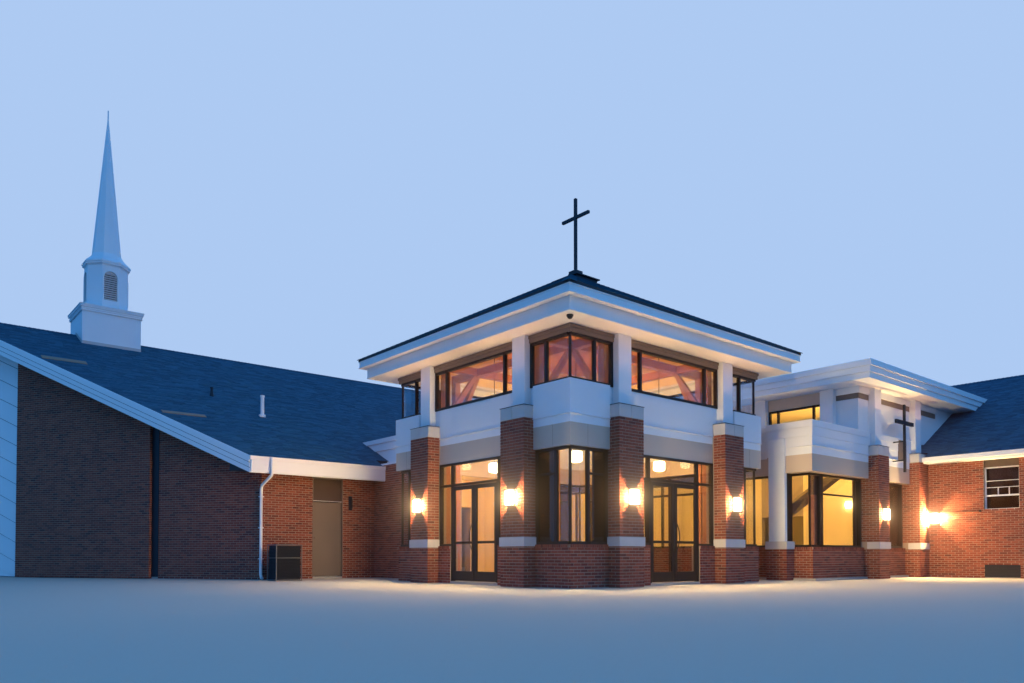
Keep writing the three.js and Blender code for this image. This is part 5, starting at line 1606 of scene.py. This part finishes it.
def makeDownspout():
    x = pipe["x"]
    y = sanctuary["front"] - pipe["wallGap"]
    front = pipe["outletY"]
    points = [(x + 30, front, 3470), (x + 30, front, 3060), (x + 26, front + 50, 2985), (x, y - 60, 2745),
              (x, y, 2640), (x, y, 160), (x, y - 48, 70), (x, y - 108, 50)]
    piece = makeTube("downspout_pipe", points, pipe["radius"], "whitePaint", sides=2)
    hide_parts("downspout")
    straps = [((x - 62, x + 62), (y - 50, y + 58), (z, z + 26)) for z in pipe["straps"]]
    makeBars("downspout_straps", straps, "whitePaint", bevel=3)


condenser = {"x": (-6220, -5450), "y": (5480, 6100), "top": 1020, "middle": 640, "post": 26, "finPitch": 40,
             "fin": 13, "rings": (90, 165, 240, 290), "wire": 7, "line": (380, 450, 28)}


def makeCondenser():
    (x0, x1), (y0, y1) = condenser["x"], condenser["y"]
    top, middle, post = condenser["top"], condenser["middle"], condenser["post"]
    core = [((x0 + 40, x1 - 40), (y0 + 40, y1 - 40), (20, top - 40))]
    makeBars("condenser_core", core, "louvreShadow", bevel=0, stands=["condenser_unit"])
    fins = []
    for z in range(90, top - 80, condenser["finPitch"]):
        heights = (z, z + condenser["fin"])
        fins += [((x0 + 30, x1 - 30), y, heights) for y in ((y0 + 10, y0 + 42), (y1 - 42, y1 - 10))]
        fins += [(x, (y0 + 30, y1 - 30), heights) for x in ((x0 + 10, x0 + 42), (x1 - 42, x1 - 10))]
    makeBars("condenser_fins", fins, "blackSteel", bevel=3)
    shell = [((x0 - 6, x1 + 6), (y0 - 6, y1 + 6), (top - 24, top)),
             ((x0 - 4, x1 + 4), (y0 - 4, y1 + 4), (0, 34)),
             ((x0 + 12, x1 + 2), (y0 - 2, y1 + 2), (middle - 10, middle + 10))]
    for cx in (x0 - 4, x1 + 4 - post):
        for cy in (y0 - 4, y1 + 4 - post):
            shell.append(((cx, cx + post), (cy, cy + post), (30, top - 20)))
    makeBars("condenser_shell", shell, "cabinetPaint", bevel=8)
    cx, cy = (x0 + x1) / 2, (y0 + y1) / 2
    turns = [t * math.pi / 16 for t in range(33)]
    for ring, radius in enumerate(condenser["rings"]):
        points = [(cx + radius * math.cos(t), cy + radius * math.sin(t), top + 6) for t in turns]
        makeTube(f"condenser_guard_{ring}", points, condenser["wire"], "louvreShadow", sides=1)
    along, z, radius = condenser["line"]
    line = [(x0 + along, y1 - 10, z), (x0 + along, sanctuary["front"] - 4, z)]
    makeTube("condenser_line", line, radius, "louvreShadow")


# A thin plate that lies on the sanctuary's front slope
def roofPlate(x, y, thick):
    corners = []
    for px in x:
        for py in y:
            z = sanctuaryTop(py)
            corners += [(px, py, z - 4), (px, py, z + thick)]
    faces = [(0, 2, 3, 1), (4, 5, 7, 6), (0, 1, 5, 4), (2, 6, 7, 3), (1, 3, 7, 5), (0, 4, 6, 2)]
    return corners, [face[::-1] for face in faces]


def addCylinder(place, radius, heights, vertices):
    (x, y), (z0, z1) = place, heights
    bpy.ops.mesh.primitive_cylinder_add(vertices=vertices, radius=radius * mm, depth=(z1 - z0) * mm,
                                        location=(x * mm, y * mm, (z0 + z1) / 2 * mm))


roofVents = {"stack": (-4870, 9800), "cowl": (-5990, 11370)}
roofPatches = (((-10700, -9420), (13020, 13290)), ((-8220, -6940), (9040, 9220)))


def makeRoofPieces():
    x, y = roofVents["stack"]
    low = sanctuaryTop(y)
    piece = startPiece("roof_vent_stack")
    for radius, z0, z1 in ((60, low - 40, 6010), (74, 5960, 6022), (110, low - 30, low + 60)):
        addCylinder((x, y), radius, (z0, z1), 24)
    finishPiece(piece, 5, "whitePaint", stands=["roof_vent_pipe"])
    # the small dark vent higher up the slope: a narrow cowl on a flared foot
    x, y = roofVents["cowl"]
    low = sanctuaryTop(y)
    cowl = startPiece("roof_vent_cowl")
    bpy.ops.mesh.primitive_cone_add(vertices=20, radius1=78 * mm, radius2=40 * mm, depth=240 * mm,
                                    location=(x * mm, y * mm, (low + 60) * mm))
    for radius, heights in ((40, (6100, 6380)), (56, (6358, 6398))):
        addCylinder((x, y), radius, heights, 20)
    finishPiece(cowl, 4, "blackSteel", stands=["roof_vent_box"])
    for i, (xRange, yRange) in enumerate(roofPatches):
        makeSheet(f"roof_patch_{i + 1}", *roofPlate(xRange, yRange, 26), "tanFlashing")


roofCap = {"half": (450, 500), "edge": (8288, 8316), "curb": (400, 440), "curbLow": 8150, "top": 8470,
           "block": (140, 8570)}
dome = {"at": (-3950, -3780), "radius": 62, "z": 5640, "collar": 72, "collarZ": (5637, 5671)}


# The low dark plate that the roof's cross stands on
def makeRoofCap():
    hx, hy = roofCap["half"]
    cx, cy = roofCap["curb"]
    b, blockTop = roofCap["block"]
    edge = roofCap["edge"]
    ring = ((-1, -1), (1, -1), (1, 1), (-1, 1))
    corners = [(sx * hx, sy * hy, z) for z in edge for sx, sy in ring]
    corners += [(sx * b, sy * b, roofCap["top"]) for sx, sy in ring]
    faces = [(3, 2, 1, 0), (8, 9, 10, 11)]
    for low in (0, 4):
        faces += [(low + i, low + (i + 1) % 4, low + 4 + (i + 1) % 4, low + 4 + i) for i in range(4)]
    makeSheet("roof_cap_plate", corners, faces, "blackSteel")
    blocks = [((-cx, cx), (-cy, cy), (roofCap["curbLow"], edge[0] + 4)),
              ((-b, b), (-b, b), (roofCap["top"] - 30, blockTop))]
    makeBars("roof_cap_blocks", blocks, "blackSteel", bevel=6)
    x, y = dome["at"]
    piece = startPiece("corner_dome")
    bpy.ops.mesh.primitive_uv_sphere_add(segments=20, ring_count=12, radius=dome["radius"] * mm,
                                         location=(x * mm, y * mm, dome["z"] * mm))
    addCylinder((x, y), dome["collar"], dome["collarZ"], 20)
    bpy.ops.object.mode_set(mode="OBJECT")
    bpy.ops.object.shade_smooth_by_angle(angle=math.radians(40))
    dress(piece, "blackSteel")


makeSideDoor()
makeDownspout()
makeCondenser()
makeRoofPieces()
makeRoofCap()
paintNode("floor_slab", "floorConcrete")
print("small pieces fitted")


# Floor, light and camera

stageFloor = {"size": 240, "color": (0.55, 0.47, 0.38)}


def makeStage():
    clearSelection()
    bpy.ops.mesh.primitive_plane_add(size=stageFloor["size"], location=(0, 0, -0.002))
    floor = bpy.context.object
    floor.name = "stage_floor"
    material = bpy.data.materials.new("stageFloor")
    material.use_nodes = True
    shader = material.node_tree.nodes["Principled BSDF"]
    shader.inputs["Base Color"].default_value = (*stageFloor["color"], 1)
    shader.inputs["Roughness"].default_value = 0.9
    floor.data.materials.append(material)


softLight = {
    "seen": (0.42, 0.59, 0.89), "cast": (0.10, 0.43, 1.12), "strength": 0.72,
    "key": {"at": (-24, -14, 18), "size": 22, "power": 300, "color": (0.26, 0.58, 1.0)},
    "fill": {"at": (2, -34, 16), "size": 22, "power": 1100, "color": (0.28, 0.58, 1.0)},
    "back": {"at": (26, 36, 24), "size": 24, "power": 1500, "color": (0.50, 0.70, 1.0)},
    "right": {"at": (42, -10, 20), "size": 20, "power": 800, "color": (0.45, 0.68, 1.0)},
}
# Warm strips that light the soffits: real mm for place and size, aimed up
eaveLight = {"out": 520, "z": 4560, "wide": 300, "power": 1.5, "color": (1.0, 0.46, 0.17), "spread": 100}
wallLights = (
    ("hall_eave_light", (10000, -4500, 5200), (4200, 300), 1.8, eaveLight["color"], (0, 0, 1)),
    ("yard_light", (-5200, 3400, 3300), (1600, 900), 8, (1.0, 0.48, 0.16), (0, 1, -0.05)),
)


def addAreaLight(name, place, size, power, color, aim, spread=180):
    light = bpy.data.lights.new(name, "AREA")
    light.energy = power
    light.color = color
    light.shape = "RECTANGLE"
    light.spread = math.radians(spread)
    light.size, light.size_y = size
    item = bpy.data.objects.new(name, light)
    item.location = place
    item.rotation_euler = Vector(aim).to_track_quat("-Z", "Y").to_euler()
    item.visible_camera = False
    bpy.context.scene.collection.objects.link(item)


# The sky that the camera sees is paler than the one that lights the building
def makeSky():
    world = bpy.data.worlds.new("softSky")
    world.use_nodes = True
    tree = world.node_tree
    back = tree.nodes["Background"]
    back.inputs["Color"].default_value = (*softLight["cast"], 1)
    back.inputs["Strength"].default_value = softLight["strength"]
    seen = tree.nodes.new("ShaderNodeBackground")
    seen.inputs["Color"].default_value = (*softLight["seen"], 1)
    path = tree.nodes.new("ShaderNodeLightPath")
    mix = tree.nodes.new("ShaderNodeMixShader")
    tree.links.new(path.outputs["Is Camera Ray"], mix.inputs[0])
    tree.links.new(back.outputs[0], mix.inputs[1])
    tree.links.new(seen.outputs[0], mix.inputs[2])
    tree.links.new(mix.outputs[0], tree.nodes["World Output"].inputs["Surface"])
    bpy.context.scene.world = world


def makeLight():
    makeSky()
    for name in ("key", "fill", "back", "right"):
        values = softLight[name]
        aim = Vector((0, 0, 1.5)) - Vector(values["at"])
        size = (values["size"], values["size"])
        addAreaLight(name, values["at"], size, values["power"], values["color"], aim)
    strip = eaveLight
    for side in ("front", "left"):
        half, out, _ = lobbySides[side]
        for sign in (-1, 1):
            x, y = placeOnSide(side, sign * half * 0.52, out + strip["out"])
            size = (half * 0.9, strip["wide"]) if side == "front" else (strip["wide"], half * 0.9)
            place = (x * mm, y * mm, strip["z"] * mm)
            addAreaLight(f"eave_light_{side}_{sign}", place, [v * mm for v in size], strip["power"],
                         strip["color"], (0, 0, 1), strip["spread"])
    for name, place, size, power, color, aim in wallLights:
        addAreaLight(name, [v * mm for v in place], [v * mm for v in size], power, color, aim)


# A soft bloom round the lamps
def makeBloom():
    scene = bpy.context.scene
    scene.use_nodes = True
    tree = scene.node_tree
    layers = tree.nodes["Render Layers"]
    glare = tree.nodes.new("CompositorNodeGlare")
    glare.glare_type = "BLOOM"
    glare.inputs["Threshold"].default_value = 3.0
    glare.inputs["Size"].default_value = 0.28
    glare.inputs["Strength"].default_value = 0.3
    tree.links.new(layers.outputs["Image"], glare.inputs["Image"])
    tree.links.new(glare.outputs["Image"], tree.nodes["Composite"].inputs["Image"])


eye = {"at": (-7.56, -7.56, 0.352), "heading": 49.73, "pitch": 1.33, "lens": 27.27, "shiftUp": 0.1916}


def makeCamera():
    data = bpy.data.cameras.new("eye")
    data.lens = eye["lens"]
    data.sensor_width = 36
    data.shift_y = eye["shiftUp"]
    data.clip_end = 500
    camera = bpy.data.objects.new("eye", data)
    camera.location = eye["at"]
    camera.rotation_euler = (math.radians(90 + eye["pitch"]), 0, math.radians(eye["heading"] - 90))
    bpy.context.scene.collection.objects.link(camera)
    bpy.context.scene.camera = camera
    bpy.context.scene.view_settings.view_transform = "Standard"


makeStage()
makeLight()
makeCamera()
makeBloom()
print("scene ready")
